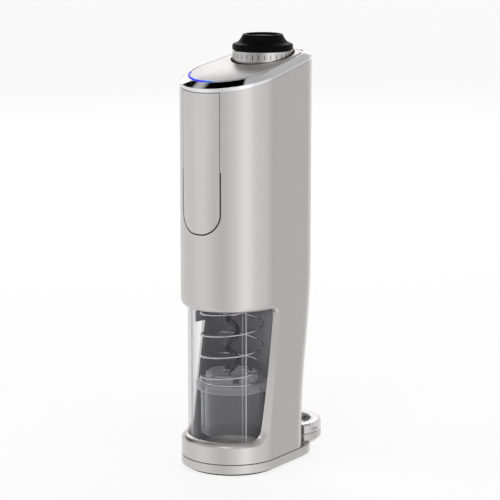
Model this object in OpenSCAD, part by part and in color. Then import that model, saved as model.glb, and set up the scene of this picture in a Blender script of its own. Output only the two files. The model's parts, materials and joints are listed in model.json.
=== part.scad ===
// Electric wine opener standing in its charging base, with a vacuum stopper docked on
// top and a foil cutter parked behind. Millimetres. +Z is up and -Y is the front. The
// origin is on the table, on the axis of the worm and of the bottle's neck.

/* [Neck guide] */
// Radius of the hole that takes the neck of a bottle
neck_bore_r = 16; // [15:0.5:20]
// Wall of the guide's tube
guide_wall = 2.5; // [2:0.1:3.5]
// How far the flange stands out past the tube
flange_lip = 2.9; // [2.5:0.1:4]
// Thickness of the flange
flange_h = 4; // [3:0.5:6]
// Length of the tube below the flange
guide_l = 27; // [20:1:27]
// Radius of the hole in the stop that the bottle's lip meets
stop_r = 12.5; // [10:0.5:14]
// Wire radius of the return spring
spring_wire_r = 0.55; // [0.4:0.05:0.8]
// Pitch of the return spring
spring_pitch = 12.8; // [9:0.1:18]

/* [Clear chamber] */
// Gap between the flange and the clear shell
flange_gap = 3; // [1.5:0.1:4]
// Wall of the clear shell
shell_wall = 1.6; // [1.2:0.1:2.4]
// Wall of the dark liner behind the clear shell
liner_wall = 1.1; // [0.8:0.1:1.5]

/* [Body] */
// Width of the frame round the clear shell, from shell to outer face
rim_w = 3.65; // [3.4:0.05:6]
// Distance from the worm's axis to the back face
body_back = 50; // [48:1:62]
// Radius of the two back corners
corner_r = 13.7; // [10:0.1:14]
// Taper of each flat side towards the back, in degrees
side_taper = 6.1; // [0:0.1:7]
// Wall of the body
wall = 2.2; // [1.6:0.1:2.7]
// Height of the lower edge of the upper body above the base
window_h = 91.5; // [88:0.5:110]
// Height from that edge to the front of the sloping top
upper_h = 125.8; // [124:0.2:152]
// Slope of the top, in degrees
top_slope = 11.31; // [6:0.01:11.4]
// Height of the ring under the clear window
ring_h = 9.9; // [8:0.1:14]
// How far the back face steps forward down the spine
spine_step = 9.5; // [5:0.5:10]

/* [Paddle] */
// Half width of the rocker paddle
paddle_half = 13.65; // [11:0.05:15]
// Length of the paddle below the front of the top
paddle_l = 82.3; // [76:0.1:84]
// Radius of the paddle's lower corners
paddle_corner_r = 12; // [6:0.5:12]
// Fine gap round the upper part of the paddle
groove_fine = 0.35; // [0.3:0.05:0.6]
// Wide gap round the lower part of the paddle
groove_wide = 0.8; // [0.5:0.05:1.2]

/* [Top] */
// Width of the bezel
bezel_w = 4.6; // [3:0.1:5]
// Height of the bezel
bezel_h = 5.2; // [4.6:0.1:7]
// Width of the light strip
strip_w = 1.4; // [1:0.1:2]
// Half angle of the light strip, from the front, in degrees
strip_half = 62; // [40:1:80]

/* [Drive] */
// Module of the planetary gears
gear_module = 0.8; // [0.65:0.01:0.96]
// Width of the gears
gear_w = 8; // [6:0.5:10]
// Radius of the motor
motor_r = 14; // [12:0.5:14.5]
// Length of the motor
motor_l = 40; // [30:1:44]
// Pitch of the worm
worm_pitch = 18; // [14:0.5:22]
// Radius from the axis to the middle of the worm's wire
worm_r = 3.2; // [2.5:0.1:4]
// Radius of the worm's wire
worm_wire_r = 1.6; // [1.2:0.1:2]

/* [Cells] */
// Radius of a cell
cell_r = 9.2; // [7:0.1:9.4]
// Length of a cell
cell_l = 65; // [44:1:66]

/* [Stopper] */
// Outer radius of the date ring
date_ring_r = 17.7; // [16.5:0.1:18.5]
// Height of the date ring
date_ring_h = 6.9; // [5:0.1:9]
// Radius of the plug's fins
plug_r = 9.6; // [8:0.1:10.5]
// Length of the plug
plug_l = 17; // [12:0.5:18]
// Distance from the worm's axis to the stopper's axis
stopper_y = 27.9; // [27:0.1:30]

/* [Base] */
// Height of the base
base_h = 7; // [6.5:0.1:10]
// Outer radius of the dock and of the foil cutter
dock_r = 22; // [21:0.5:25]
// Height of the top of the dock
dock_h = 11.8; // [11.5:0.1:16]
// Radius of the foil cutter's neck opening
cutter_bore_r = 15.5; // [15:0.1:16.5]
// Height of the foil cutter
cutter_h = 6; // [5:0.5:12]

/* [Hidden] */
$fn = 96;
cut = 0.5;             // how far a cutter runs past the face that it opens
run_fit = 0.05;        // radial clearance of a shaft in its hole
part_gap = 0.35;       // clearance between separate mouldings
big = 300;             // side of a block that cuts everything beyond a face

// Radii of the pieces round the bottle's neck, from the inside out
guide_or = neck_bore_r + guide_wall;
flange_r = guide_or + flange_lip;
shell_ir = flange_r + flange_gap;
shell_or = shell_ir + shell_wall;
socket_r = shell_or + part_gap;
nose_r = socket_r + rim_w;
liner_ir = shell_or + 0.1;
liner_or = liner_ir + liner_wall;

// Plan of the body: a nose circle and two corner circles, joined by tangents
corner_y = body_back - corner_r;
corner_x = (nose_r - corner_r - corner_y * sin(side_taper)) / cos(side_taper);

// Heights of the body
window_top = base_h + window_h;
front_top = window_top + upper_h;
ring_top = base_h + ring_h;
deck_bottom = window_top + 6;
film = 0.02;            // thickness of a layer that only carries a hull
bezel_drop = 0.6;       // how far the bezel stays below the light strip
bezel_land = 0.3;       // flat ring at the top of the bezel's chamfer
plate_drop = 0.3;       // how far the top plate stays below the light strip
deck_h = 2.5;
deck_top = deck_bottom + deck_h;
slope_rise = tan(top_slope);

// Window in the front of the body, seen from the side. The frame's face slopes in from
// the outer outline to the inner one.
outer_low = [-2, ring_top];
outer_high = [9.4, window_top];
inner_low = [-5.2, ring_top + 2.7];
inner_high = [7.9, window_top - 1.5];
liner_lug = [window_top - 16, window_top - 9.5];
outer_low_r = 11;
outer_high_r = 7;
inner_low_r = 8;
inner_high_r = 5;
rebate_r = (socket_r + nose_r) / 2;

// Back of the spine: two equal arcs that step the face forward
step_top = window_top + 26.5;
step_bottom = base_h + 8;
step_h = step_top - step_bottom;
step_arc_r = (step_h * step_h + spine_step * spine_step) / (4 * spine_step);
step_angle = asin(step_h / 2 / step_arc_r);
spine_back = body_back - spine_step;
arc_steps = 12;

// Neck guide and its spring
hub_bottom = window_top - 0.3;
spring_r = guide_or - 0.1;
spring_top = hub_bottom - spring_wire_r - 0.05;
dead_pitch = 2.2 * spring_wire_r;
flange_top = base_h + 43.5;
guide_bottom = flange_top - flange_h - guide_l;
spring_bottom = flange_top + spring_wire_r + 0.05;
active_turns = (spring_top - spring_bottom - 2 * dead_pitch) / spring_pitch;
spring_turns = active_turns + 2;
collar_h = 5.5;
lug_angles = [15, 90, 165];

// Drive train, stacked above the deck on the worm's axis
sun_teeth = 12;
planet_teeth = 18;
ring_teeth = sun_teeth + 2 * planet_teeth;
planet_orbit = gear_module * (sun_teeth + planet_teeth) / 2;
pressure_angle = 25;
addendum = 0.8;
dedendum = 1.1;
backlash = 0.06;
ring_root_r = gear_module * (ring_teeth / 2 + dedendum);
housing_r = ring_root_r + 2.3;
carrier_r = planet_orbit + 4.8;
carrier_h = 2.8;
carrier_bottom = deck_top + 0.6;
carrier_top = carrier_bottom + carrier_h;
gear_bottom = carrier_top + 0.6;
gear_top = gear_bottom + gear_w;
housing_top = gear_top + 1;
plate_h = 2;
plate_top = housing_top + plate_h;
motor_top = plate_top + motor_l;
ear_r = 2.6;
ear_orbit = min(housing_r + 2, nose_r - wall - ear_r - 0.4);
ear_angles = [-90, 30, 150];
screw_r = 1.1;
screw_head_r = 2;
shaft_r = 1.5;
pin_r = 1.5;
spindle_r = 4;
bush_r = 7;
chuck_r = 5.6;
chuck_h = 7;
chuck_top = hub_bottom - 0.2;
chuck_bottom = chuck_top - chuck_h;
worm_tip = flange_top + 2.5;
worm_embed = 1.5;

// Cells behind the motor
tray_wall = 1.3;
cell_x = cell_r + 0.2;
cell_y = body_back - wall - tray_wall - 2.8 - cell_r;
cell_bottom = deck_top + 3.5;
cell_top = cell_bottom + cell_l;
post_x = min(20.5, nose_r * 0.68);
post_r = 2.2;
post_y = max(17.5, sqrt(pow(housing_r + post_r + part_gap, 2) - pow(post_x, 2)));
lead_r = 0.9;
lead_y = (liner_or + spine_back - wall) / 2;
pad_x = 6;

// Vacuum pump above the cells and the port over it
upper_deck_bottom = cell_top + 1.5;
upper_deck_h = 2.2;
upper_deck_top = upper_deck_bottom + upper_deck_h;
pump_y = stopper_y;
pump_motor_r = 10;
pump_motor_l = 18;
pump_motor_top = upper_deck_top + pump_motor_l;
pump_body_r = 13;
pump_body_h = 11;
pump_body_top = pump_motor_top + pump_body_h;

// Stopper, docked over the port
boss_top = front_top + slope_rise * (nose_r + stopper_y) + 0.7;
boss_r = date_ring_r + 0.8;
port_bore_r = plug_r + 0.6;
core_flange_bottom = boss_top + 0.15;
core_flange_h = 0.7;
ring_bottom = core_flange_bottom + core_flange_h + 0.05;
ring_top_z = ring_bottom + date_ring_h;
core_hub_r = date_ring_r - 3.7;
core_tube_r = plug_r - 3.6;
core_bore_r = 2.2;
cap_bottom = ring_top_z + 0.05;
cap_flange_h = 3.6;
cap_h = 9;
cap_top = cap_bottom + cap_h;
cap_flange_r = date_ring_r + 0.1;
cap_top_r = date_ring_r - 6.2;
recess_r = cap_top_r - 1.7;
recess_h = 4.1;
valve_travel = 1.2;
valve_r = recess_r - 0.3;
date_marks = 31;
boss_bottom = pump_body_top + 1;

// Paddle, its pin and its switches
paddle_bottom = front_top - paddle_l;
pivot_z = front_top - paddle_l / 2;
pivot_y = -(nose_r - 8.2);
paddle_back = -sqrt(pow(nose_r - wall - part_gap, 2) - pow(paddle_half + groove_wide, 2));
groove_change = pivot_z - 4;
ear_x = [paddle_half - 3.9, paddle_half - 1.6];
lug_x = [paddle_half - 1.25, paddle_half + 3.4];
paddle_pin_r = 1.5;
board_y = -(motor_r + 1.6);
board_h = 1.6;
switch_z = [paddle_bottom + 10.4, front_top - 10.3];
switch_l = 3.4;
plunger_l = 0.6;
switch_play = 0.9;

// Base, dock and foil cutter
pad_h = 0.8;
cover_h = 1.6;
cover_inset = 2.2;
dock_bottom = base_h - 2;
dock_y = spine_back + 9.1;
dock_front = spine_back + 2;
dock_chamfer = 2.5;
post_low_r = cutter_bore_r - 3;
post_low_h = 2.4;
jack_r = 2.2;
jack_wall = 0.6;
jack_pin_r = 0.8;
jack_z = (dock_bottom + dock_h) / 2 - 0.1;
jack_l = 13;
cutter_bottom = dock_h + 0.1;
cutter_top = cutter_bottom + cutter_h;
wheel_r = 3.2;
wheel_h = 1;
wheel_orbit = cutter_bore_r + 2.1;
wheel_angles = [28, 70, 110, 152];
cutter_pin_r = 1;
cutter_pin_l = cutter_h - 1.6;
scallop_r = 9;
base_screw_at = [[-14, -14], [14, -14], [-15, 34], [15, 34]];

// Colours
silver = [0.79, 0.77, 0.76];
chrome = [0.85, 0.86, 0.88];
steel = [0.7, 0.71, 0.73];
dark = [0.27, 0.26, 0.28];
black = [0.09, 0.09, 0.1];
clear = [0.85, 0.88, 0.9, 0.35];
green = [0.12, 0.35, 0.2];
brass = [0.75, 0.6, 0.3];

// ---------------------------------------------------------------- functions

function unit(v) = v / norm(v);
function radians(a) = a * PI / 180;
function involute(a) = tan(a) - radians(a);

// Points along an arc about c, from one angle to another
function arc(c, r, from, to, steps) =
    [for (i = [0:steps]) let (a = from + (to - from) * i / steps) c + r * [cos(a), sin(a)]];

// Rounds corner q of an outline that runs from p to r
function rounded_corner(p, q, r, radius) =
    let (
        u = unit(p - q),
        v = unit(r - q),
        half = acos(u * v) / 2,
        t = radius / tan(half),
        c = q + unit(u + v) * radius / sin(half),
        a = q + u * t - c,
        b = q + v * t - c,
        start = atan2(a[1], a[0]),
        raw = atan2(b[1], b[0]) - start,
        turn = raw > 180 ? raw - 360 : raw < -180 ? raw + 360 : raw
    )
    [for (i = [0:arc_steps])
        c + radius * [cos(start + turn * i / arc_steps), sin(start + turn * i / arc_steps)]];

// Window outline in Y and Z, open to the front
function window_outline(low, high, low_r, high_r) =
    let (front = -nose_r - 10)
    concat(
        [[front, high[1]], [front, low[1]]],
        rounded_corner([front, low[1]], low, high, low_r),
        rounded_corner(low, high, [front, high[1]], high_r)
    );

// Back face of the spine in Y and Z, from the top down
function back_line(inset) = concat(
    [for (i = [0:arc_steps]) let (a = step_angle * i / arc_steps)
        [body_back - inset - step_arc_r * (1 - cos(a)), step_top - step_arc_r * sin(a)]],
    [for (i = [arc_steps - 1:-1:0]) let (a = step_angle * i / arc_steps)
        [spine_back - inset + step_arc_r * (1 - cos(a)), step_bottom + step_arc_r * sin(a)]]
);

// Half the angle that a tooth fills at radius r
function tooth_half(teeth, r, extra) =
    let (pitch_r = gear_module * teeth / 2, base_r = pitch_r * cos(pressure_angle))
    90 / teeth + extra / pitch_r * 180 / PI
    + (involute(pressure_angle) - involute(acos(min(1, base_r / max(r, base_r))))) * 180 / PI;

// Outline of a gear with involute flanks; extra widens each tooth by that much a side
function gear_outline(teeth, root_r, tip_r, extra, flank_steps = 4) = [
    for (k = [0:teeth - 1])
    for (side = [-1, 1])
    for (i = [0:flank_steps])
        let (
            s = side < 0 ? i : flank_steps - i,
            r = root_r + (tip_r - root_r) * s / flank_steps,
            a = 360 * k / teeth + side * tooth_half(teeth, r, extra)
        )
        r * [cos(a), sin(a)]
];

// Rings of points round a wire that follows a helix; z is a function of the turn
function wire_ring(r, angle, z, slope, w, sides) =
    let (
        n = [cos(angle), sin(angle), 0],
        t = unit([-sin(angle), cos(angle), slope]),
        b = cross(t, n)
    )
    [for (j = [0:sides - 1]) let (a = 360 * j / sides)
        [0, 0, z] + r * n + w * (cos(a) * n + sin(a) * b)];

function tube_faces(rings, sides) = concat(
    [[for (j = [0:sides - 1]) j]],
    [for (i = [0:rings - 2]) for (j = [0:sides - 1])
        let (a = i * sides + j, b = i * sides + (j + 1) % sides)
        each [[a, a + sides, b + sides], [a, b + sides, b]]],
    [[for (j = [sides - 1:-1:0]) (rings - 1) * sides + j]]
);

// Height of the spring's wire after u turns from its lower end, with a flat turn at each end
function spring_z(u) =
    u < 1 ? spring_bottom + dead_pitch * u
    : u > spring_turns - 1 ? spring_top - dead_pitch * (spring_turns - u)
    : spring_bottom + dead_pitch + spring_pitch * (u - 1);

// ---------------------------------------------------------------- shared shapes

module plan(inset = 0) {
    nose = nose_r - inset;
    corner = corner_r - inset;
    polygon(concat(
        arc([0, 0], nose, 180 - side_taper, 360 + side_taper, 64),
        arc([corner_x, corner_y], corner, side_taper, 90, 20),
        arc([-corner_x, corner_y], corner, 90, 180 - side_taper, 20)
    ));
}

// Prism of an outline in Y and Z, run right across in X
module across(outline, width = 2 * big) {
    rotate([90, 0, 90]) linear_extrude(height = width, center = true) polygon(outline);
}

module between(low, high, inset = 0) {
    translate([0, 0, low]) linear_extrude(height = high - low) plan(inset);
}

// Everything above the sloping top, raised by h
module above_slope(h = 0) {
    translate([0, -nose_r, front_top + h]) rotate([top_slope, 0, 0])
        translate([-big / 2, -big / 2, 0]) cube([big, big, big]);
}

// A layer of the top, from h to h + thickness above the slope
module top_layer(h, thickness, inset) {
    difference() {
        between(front_top - 20, front_top + slope_rise * (nose_r + body_back) + 20, inset);
        translate([0, -nose_r, front_top + h]) rotate([top_slope, 0, 0])
            translate([-big / 2, -big / 2, -big]) cube([big, big, big]);
        above_slope(h + thickness);
    }
}

// Everything behind the spine's back face, moved in by inset
module behind(inset = 0) {
    across(concat(
        [[body_back - inset, step_top + cut], [big, step_top + cut], [big, -cut], [spine_back - inset, -cut]],
        [for (i = [2 * arc_steps:-1:0]) back_line(inset)[i]]
    ));
}

module ring(r_out, r_in, low, high) {
    translate([0, 0, low]) difference() {
        cylinder(r = r_out, h = high - low);
        translate([0, 0, -cut]) cylinder(r = r_in, h = high - low + 2 * cut);
    }
}

module disc(r, low, high) {
    translate([0, 0, low]) cylinder(r = r, h = high - low);
}

module box(low, high) {
    translate(low) cube(high - low);
}

// Region that the inner window outline opens, moved back by shift
module window_space(shift = 0) {
    translate([0, shift, 0]) across(window_outline(inner_low, inner_high, inner_low_r, inner_high_r));
}

module screw(length) {
    disc(screw_r, 0, length);
    disc(screw_head_r, length, length + 1.4);
}

// ---------------------------------------------------------------- charging base

module base_pad() {
    color(black) between(0, pad_h, cover_inset + 0.8);
}

module base_cover() {
    color(dark) difference() {
        between(pad_h, pad_h + cover_h, cover_inset);
        for (p = base_screw_at)
            translate([p[0], p[1], pad_h - cut]) cylinder(r = screw_r, h = cover_h + 2 * cut);
    }
}

module base_shell() {
    color(silver) difference() {
        union() {
            between(pad_h, base_h);
            // collar that the opener drops over
            ring(neck_bore_r + 3.4, neck_bore_r + 1.2, base_h - cut, base_h + 5);
            // dock for the foil cutter, with a low locating post
            difference() {
                translate([0, dock_y, 0]) {
                    disc(dock_r, dock_bottom + dock_chamfer, dock_h);
                    translate([0, 0, dock_bottom])
                        cylinder(r1 = dock_r - dock_chamfer, r2 = dock_r, h = dock_chamfer);
                    disc(post_low_r, dock_h - cut, dock_h + post_low_h);
                }
                box([-big, -big, base_h], [big, dock_front, big]);
            }
        }
        // room for the cover and for the charging board
        between(pad_h - cut, pad_h + cover_h, cover_inset - 0.02);
        difference() {
            between(pad_h, base_h - 2, cover_inset + 1.4);
            for (p = base_screw_at)
                translate([p[0], p[1], 0]) cylinder(r = 3, h = base_h);
        }
        for (p = base_screw_at)
            translate([p[0], p[1], 0]) cylinder(r = screw_r, h = base_h - 1.2);
        for (s = [-1, 1])
            translate([s * pad_x, lead_y, base_h - 3]) cylinder(r = 1.2, h = 4);
        // pocket for the jack and the way in for its wires
        translate([0, dock_y + dock_r + cut, jack_z]) rotate([90, 0, 0])
            cylinder(r = jack_r + jack_wall, h = jack_l + 3 + cut);
        box([-2.5, dock_y - 6, pad_h + 2], [2.5, dock_y + dock_r - jack_l, jack_z]);
    }
}

module base_screws() {
    color(steel) for (p = base_screw_at)
        translate([p[0], p[1], pad_h + 0.2]) {
            disc(screw_r, 0, base_h - 2.2);
        }
}

module charge_board() {
    color(green) box([-12, -6, base_h - 3.8], [12, lead_y - 3, base_h - 2.6]);
}

module charge_contacts() {
    color(brass) for (s = [-1, 1])
        translate([s * pad_x, lead_y, 0]) disc(1.2, base_h - 3.2, base_h + 1.2);
}

module power_jack() {
    color(black) translate([0, dock_y + dock_r - 0.4, jack_z]) rotate([90, 0, 0]) {
        difference() {
            cylinder(r = jack_r + jack_wall, h = jack_l);
            translate([0, 0, -cut]) cylinder(r = jack_r, h = jack_l - 2 + cut);
        }
        translate([0, 0, 1.5]) cylinder(r = jack_pin_r, h = jack_l - 3);
    }
}

// ---------------------------------------------------------------- foil cutter

module at_wheel(i) {
    a = wheel_angles[i];
    translate([wheel_orbit * cos(a), dock_y + wheel_orbit * sin(a), (cutter_bottom + cutter_top) / 2])
        children();
}

module cutter_body() {
    color(silver) difference() {
        translate([0, dock_y, 0]) ring(dock_r, cutter_bore_r, cutter_bottom, cutter_top);
        box([-big, -big, 0], [big, dock_front, big]);
        for (s = [-1, 1])
            translate([s * (dock_r + scallop_r - 1.6), dock_y + 2, cutter_bottom + cutter_h * 0.3])
                cylinder(r = scallop_r, h = cutter_h);
        for (i = [0:3]) at_wheel(i) {
            translate([0, 0, -wheel_h / 2 - 0.2]) cylinder(r = wheel_r + 0.4, h = wheel_h + 0.4);
            translate([0, 0, -cutter_pin_l / 2]) cylinder(r = cutter_pin_r, h = cutter_pin_l);
        }
    }
}

module cutter_pins() {
    color(steel) for (i = [0:3]) at_wheel(i)
        translate([0, 0, -cutter_pin_l / 2]) cylinder(r = cutter_pin_r, h = cutter_pin_l);
}

module cutter_wheel(i) {
    color(steel) at_wheel(i) difference() {
        union() {
            translate([0, 0, -wheel_h / 2]) cylinder(r1 = wheel_r - 0.6, r2 = wheel_r, h = wheel_h / 2);
            cylinder(r1 = wheel_r, r2 = wheel_r - 0.6, h = wheel_h / 2);
        }
        translate([0, 0, -wheel_h]) cylinder(r = cutter_pin_r + run_fit, h = 2 * wheel_h);
    }
}

// ---------------------------------------------------------------- body of the opener

// Outline of the paddle seen from the front, grown by grow
module paddle_face(grow = 0) {
    half = paddle_half + grow;
    corner = paddle_corner_r + grow;
    low = paddle_bottom + groove_wide - grow;
    for (s = [-1, 1])
        translate([s * (half - corner), low + corner]) circle(r = corner);
    translate([-(half - corner), low]) square([2 * (half - corner), corner]);
    translate([-half, low + corner]) square([2 * half, front_top + 40 - low - corner]);
}

module towards_front(from_y) {
    translate([0, from_y, 0]) rotate([90, 0, 0]) linear_extrude(height = nose_r + 10 + from_y)
        children();
}

module body_shell() {
    color(silver) difference() {
        union() {
            difference() {
                between(base_h, front_top + slope_rise * (nose_r + body_back) + 10);
                above_slope();
                behind();
                // upper room, open at the top
                between(deck_bottom, big, wall);
                // room inside the spine
                difference() {
                    between(base_h + wall, deck_bottom + cut, wall);
                    across(window_outline(outer_low + [6, 0], outer_high + [6, 0], 8, 8));
                    box([-big, -big, 0], [big, outer_low[0] + 6, ring_top + 1]);
                    box([-big, -big, window_top - 1], [big, outer_high[0] + 6, deck_bottom]);
                    behind(wall);
                }
                // bore that takes the clear shell
                disc(socket_r, base_h - cut, deck_bottom + cut);
                // seat of the liner behind it
                difference() {
                    disc(liner_or + 0.1, base_h + wall, window_top - 0.8);
                    window_space(1.3);
                }
                // window, with a rebate for the sloping face of its frame
                window_space();
                // way through for the liner's lug
                intersection() {
                    ring(liner_or + 0.1, socket_r - cut, liner_lug[0] - 0.1, liner_lug[1] + 0.1);
                    box([-big, -3, 0], [0, outer_high[0] + 2.5, big]);
                }
                difference() {
                    across(window_outline(outer_low, outer_high, outer_low_r, outer_high_r));
                    disc(rebate_r, 0, big);
                }
            }
            // lugs that hold the paddle's pin
            intersection() {
                for (s = [0, 1]) mirror([s, 0, 0])
                    box([lug_x[0], pivot_y - 3, pivot_z - 3], [lug_x[1] + 3, pivot_y + 2.2, pivot_z + 3]);
                disc(nose_r - wall + 0.3, pivot_z - 4, pivot_z + 4);
            }
        }
        // opening for the paddle
        difference() {
            towards_front(paddle_back) union() {
                paddle_face(groove_fine);
                intersection() {
                    paddle_face(groove_wide);
                    translate([-big / 2, 0]) square([big, groove_change]);
                }
            }
            above_slope(-0.01);
        }
        translate([0, pivot_y, pivot_z]) rotate([0, 90, 0])
            cylinder(r = paddle_pin_r, h = 2 * lug_x[1] - 2, center = true);
        for (s = [-1, 1])
            translate([s * pad_x, lead_y, base_h - cut]) cylinder(r = 2, h = wall + 2 * cut);
    }
}

module contact_pads() {
    color(brass) for (s = [-1, 1])
        translate([s * pad_x, lead_y, 0]) disc(2, base_h + 1.25, base_h + wall + 0.4);
}

module charge_leads() {
    color(black) for (s = [-1, 1])
        translate([s * pad_x, lead_y, 0]) disc(lead_r, base_h + wall + 0.4, deck_top);
}

module spine_liner() {
    color(dark) {
        difference() {
            ring(liner_or, liner_ir, base_h + 2.8, window_top - 1.1);
            window_space(1.6);
            box([-big, -big, 0], [big, inner_low[0] + 1.6, ring_top + 4]);
        }
        // lug that keys the liner to the clear shell on one side
        intersection() {
            ring(liner_or, liner_ir, liner_lug[0], liner_lug[1]);
            box([-big, -2, 0], [0, outer_high[0] + 2, big]);
        }
    }
}

module shell_retainer() {
    color(dark) ring(socket_r - 0.05, neck_bore_r + 3.8, base_h + 0.1, base_h + 2.7);
}

module clear_shell() {
    color(clear) {
        ring(shell_or, shell_ir, base_h + 2.8, deck_bottom - 0.2);
        // two rails that stiffen the shell
        for (s = [-1, 1])
            intersection() {
                ring(shell_ir + 0.3, shell_ir - 0.8, base_h + 4, window_top - 2);
                rotate([0, 0, -90 + s * 58])
                    box([0, -1.35, 0], [big, 1.35, big]);
            }
    }
}

module neck_guide() {
    stop_z = flange_top - 2;
    color(clear) difference() {
        union() {
            disc(guide_or, guide_bottom, flange_top);
            disc(flange_r, flange_top - flange_h, flange_top);
            ring(guide_or - 3.2, guide_or - 5.2, flange_top - cut, flange_top + collar_h);
            for (a = lug_angles)
                intersection() {
                    ring(shell_ir - 0.4, flange_r - 1, flange_top - flange_h, flange_top);
                    rotate([0, 0, a]) box([0, -2.5, 0], [big, 2.5, big]);
                }
        }
        disc(neck_bore_r, guide_bottom - cut, stop_z);
        disc(stop_r, stop_z - cut, flange_top + cut);
        // slots in the collar
        for (k = [0:5]) rotate([0, 0, 60 * k + 20])
            box([stop_r, -2.2, flange_top + 1.2], [guide_or + 1, 2.2, big]);
    }
}

module neck_spring() {
    per_turn = 20;
    sides = 6;
    rings = ceil(spring_turns * per_turn) + 1;
    top_angle = 0;
    points = [for (i = [0:rings - 1])
        let (
            u = spring_turns * i / (rings - 1),
            flat = u < 1 || u > spring_turns - 1,
            slope = (flat ? dead_pitch : spring_pitch) / (2 * PI * spring_r)
        )
        each wire_ring(spring_r, top_angle + 360 * (u - spring_turns), spring_z(u), slope,
            spring_wire_r, sides)];
    color(steel) polyhedron(points, tube_faces(rings, sides));
}

// ---------------------------------------------------------------- chassis and drive

module chassis() {
    color(dark) difference() {
        union() {
            between(deck_bottom, deck_top, wall + part_gap);
            disc(shell_ir - part_gap, hub_bottom, deck_bottom + cut);
            for (s = [-1, 1])
                translate([s * post_x, post_y, 0]) disc(post_r, deck_bottom, upper_deck_bottom);
        }
        disc(bush_r, hub_bottom - cut, deck_top + cut);
        for (s = [-1, 1])
            translate([s * pad_x, lead_y, deck_bottom - cut]) cylinder(r = 1.6, h = deck_h + 2 * cut);
        for (a = ear_angles)
            rotate([0, 0, a]) translate([ear_orbit, 0, deck_bottom + 0.6]) cylinder(r = screw_r, h = deck_h + 1);
    }
}

module output_bush() {
    color(brass) ring(bush_r, spindle_r + run_fit, hub_bottom, deck_top);
}

// Teeth and body outline of the internal gear's housing
module gear_housing() {
    color(steel) difference() {
        union() {
            disc(housing_r, deck_top, housing_top);
            for (a = ear_angles)
                rotate([0, 0, a]) translate([ear_orbit, 0, 0]) disc(ear_r, deck_top, housing_top);
        }
        disc(carrier_r + 0.5, deck_top - cut, gear_bottom);
        translate([0, 0, gear_bottom - 0.1]) rotate([0, 0, 180 / ring_teeth])
            linear_extrude(height = big)
                polygon(gear_outline(ring_teeth, gear_module * (ring_teeth / 2 - addendum),
                    ring_root_r, backlash));
        for (a = ear_angles)
            rotate([0, 0, a]) translate([ear_orbit, 0, deck_top - cut]) cylinder(r = screw_r, h = big);
    }
}

module gear_screws() {
    color(steel) for (a = ear_angles)
        rotate([0, 0, a]) translate([ear_orbit, 0, deck_bottom + 0.8])
            screw(plate_top - deck_bottom - 0.8);
}

module motor_plate() {
    color(steel) difference() {
        union() {
            disc(housing_r, housing_top, plate_top);
            for (a = ear_angles)
                rotate([0, 0, a]) translate([ear_orbit, 0, 0]) disc(ear_r, housing_top, plate_top);
        }
        disc(5.2, housing_top - cut, plate_top + cut);
        for (a = ear_angles)
            rotate([0, 0, a]) translate([ear_orbit, 0, housing_top - cut]) cylinder(r = screw_r, h = plate_h + 2 * cut);
    }
}

module motor_can() {
    color(steel) difference() {
        union() {
            disc(motor_r, plate_top, motor_top);
            disc(5.1, plate_top - 1.5, plate_top + cut);
            disc(5, motor_top - cut, motor_top + 2);
        }
        disc(motor_r - 0.9, plate_top + 2, motor_top - 2);
        disc(shaft_r + run_fit, housing_top, big);
    }
}

module motor_magnets() {
    color(black) difference() {
        ring(motor_r - 0.9, motor_r - 3, plate_top + 6, motor_top - 6);
        box([-big, -4, 0], [big, 4, big]);
    }
}

module motor_shaft() {
    color(steel) disc(shaft_r, gear_bottom + 0.2, motor_top + 2.6);
}

module armature() {
    core_r = motor_r - 3.7;
    color(brass) difference() {
        disc(core_r, plate_top + 8, motor_top - 8);
        disc(shaft_r, plate_top, motor_top);
        for (a = [0:120:240]) rotate([0, 0, a])
            box([core_r - 3.6, -1.6, plate_top], [big, 1.6, motor_top]);
    }
}

module sun_gear() {
    color(steel) difference() {
        translate([0, 0, gear_bottom]) linear_extrude(height = gear_w)
            polygon(gear_outline(sun_teeth, gear_module * (sun_teeth / 2 - dedendum),
                gear_module * (sun_teeth / 2 + addendum), -backlash));
        disc(shaft_r, gear_bottom - cut, gear_top + cut);
    }
}

module planet(k) {
    color(brass) rotate([0, 0, 120 * (k - 1)]) translate([planet_orbit, 0, gear_bottom])
        difference() {
            rotate([0, 0, 180 / planet_teeth]) linear_extrude(height = gear_w)
                polygon(gear_outline(planet_teeth, gear_module * (planet_teeth / 2 - dedendum),
                    gear_module * (planet_teeth / 2 + addendum), -backlash));
            translate([0, 0, -cut]) cylinder(r = pin_r + run_fit, h = gear_w + 2 * cut);
        }
}

module planet_pins() {
    color(steel) for (k = [0:2])
        rotate([0, 0, 120 * k]) translate([planet_orbit, 0, 0])
            disc(pin_r, carrier_bottom + 0.2, gear_top + 0.2);
}

module output_spindle() {
    color(steel) difference() {
        union() {
            disc(carrier_r, carrier_bottom, carrier_top);
            disc(spindle_r, chuck_top - cut, carrier_bottom + cut);
            disc(chuck_r, chuck_bottom, chuck_top);
        }
        for (k = [0:2])
            rotate([0, 0, 120 * k]) translate([planet_orbit, 0, carrier_bottom + 0.2])
                cylinder(r = pin_r, h = carrier_h + 1);
    }
}

module worm() {
    per_turn = 24;
    sides = 10;
    length = chuck_bottom + worm_embed - worm_tip;
    turns = length / worm_pitch;
    rings = ceil(turns * per_turn) + 1;
    tip_turns = 0.45;
    slope = worm_pitch / (2 * PI * worm_r);
    start = 220 - 360 * (window_top - 9.1 - worm_tip) / worm_pitch;
    points = [for (i = [0:rings - 1])
        let (
            u = turns * i / (rings - 1),
            w = worm_wire_r * (0.12 + 0.88 * min(1, u / tip_turns))
        )
        each wire_ring(worm_r, start + 360 * u, worm_tip + worm_pitch * u, slope, w, sides)];
    color(black) polyhedron(points, tube_faces(rings, sides));
}

// ---------------------------------------------------------------- power and pump

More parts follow.
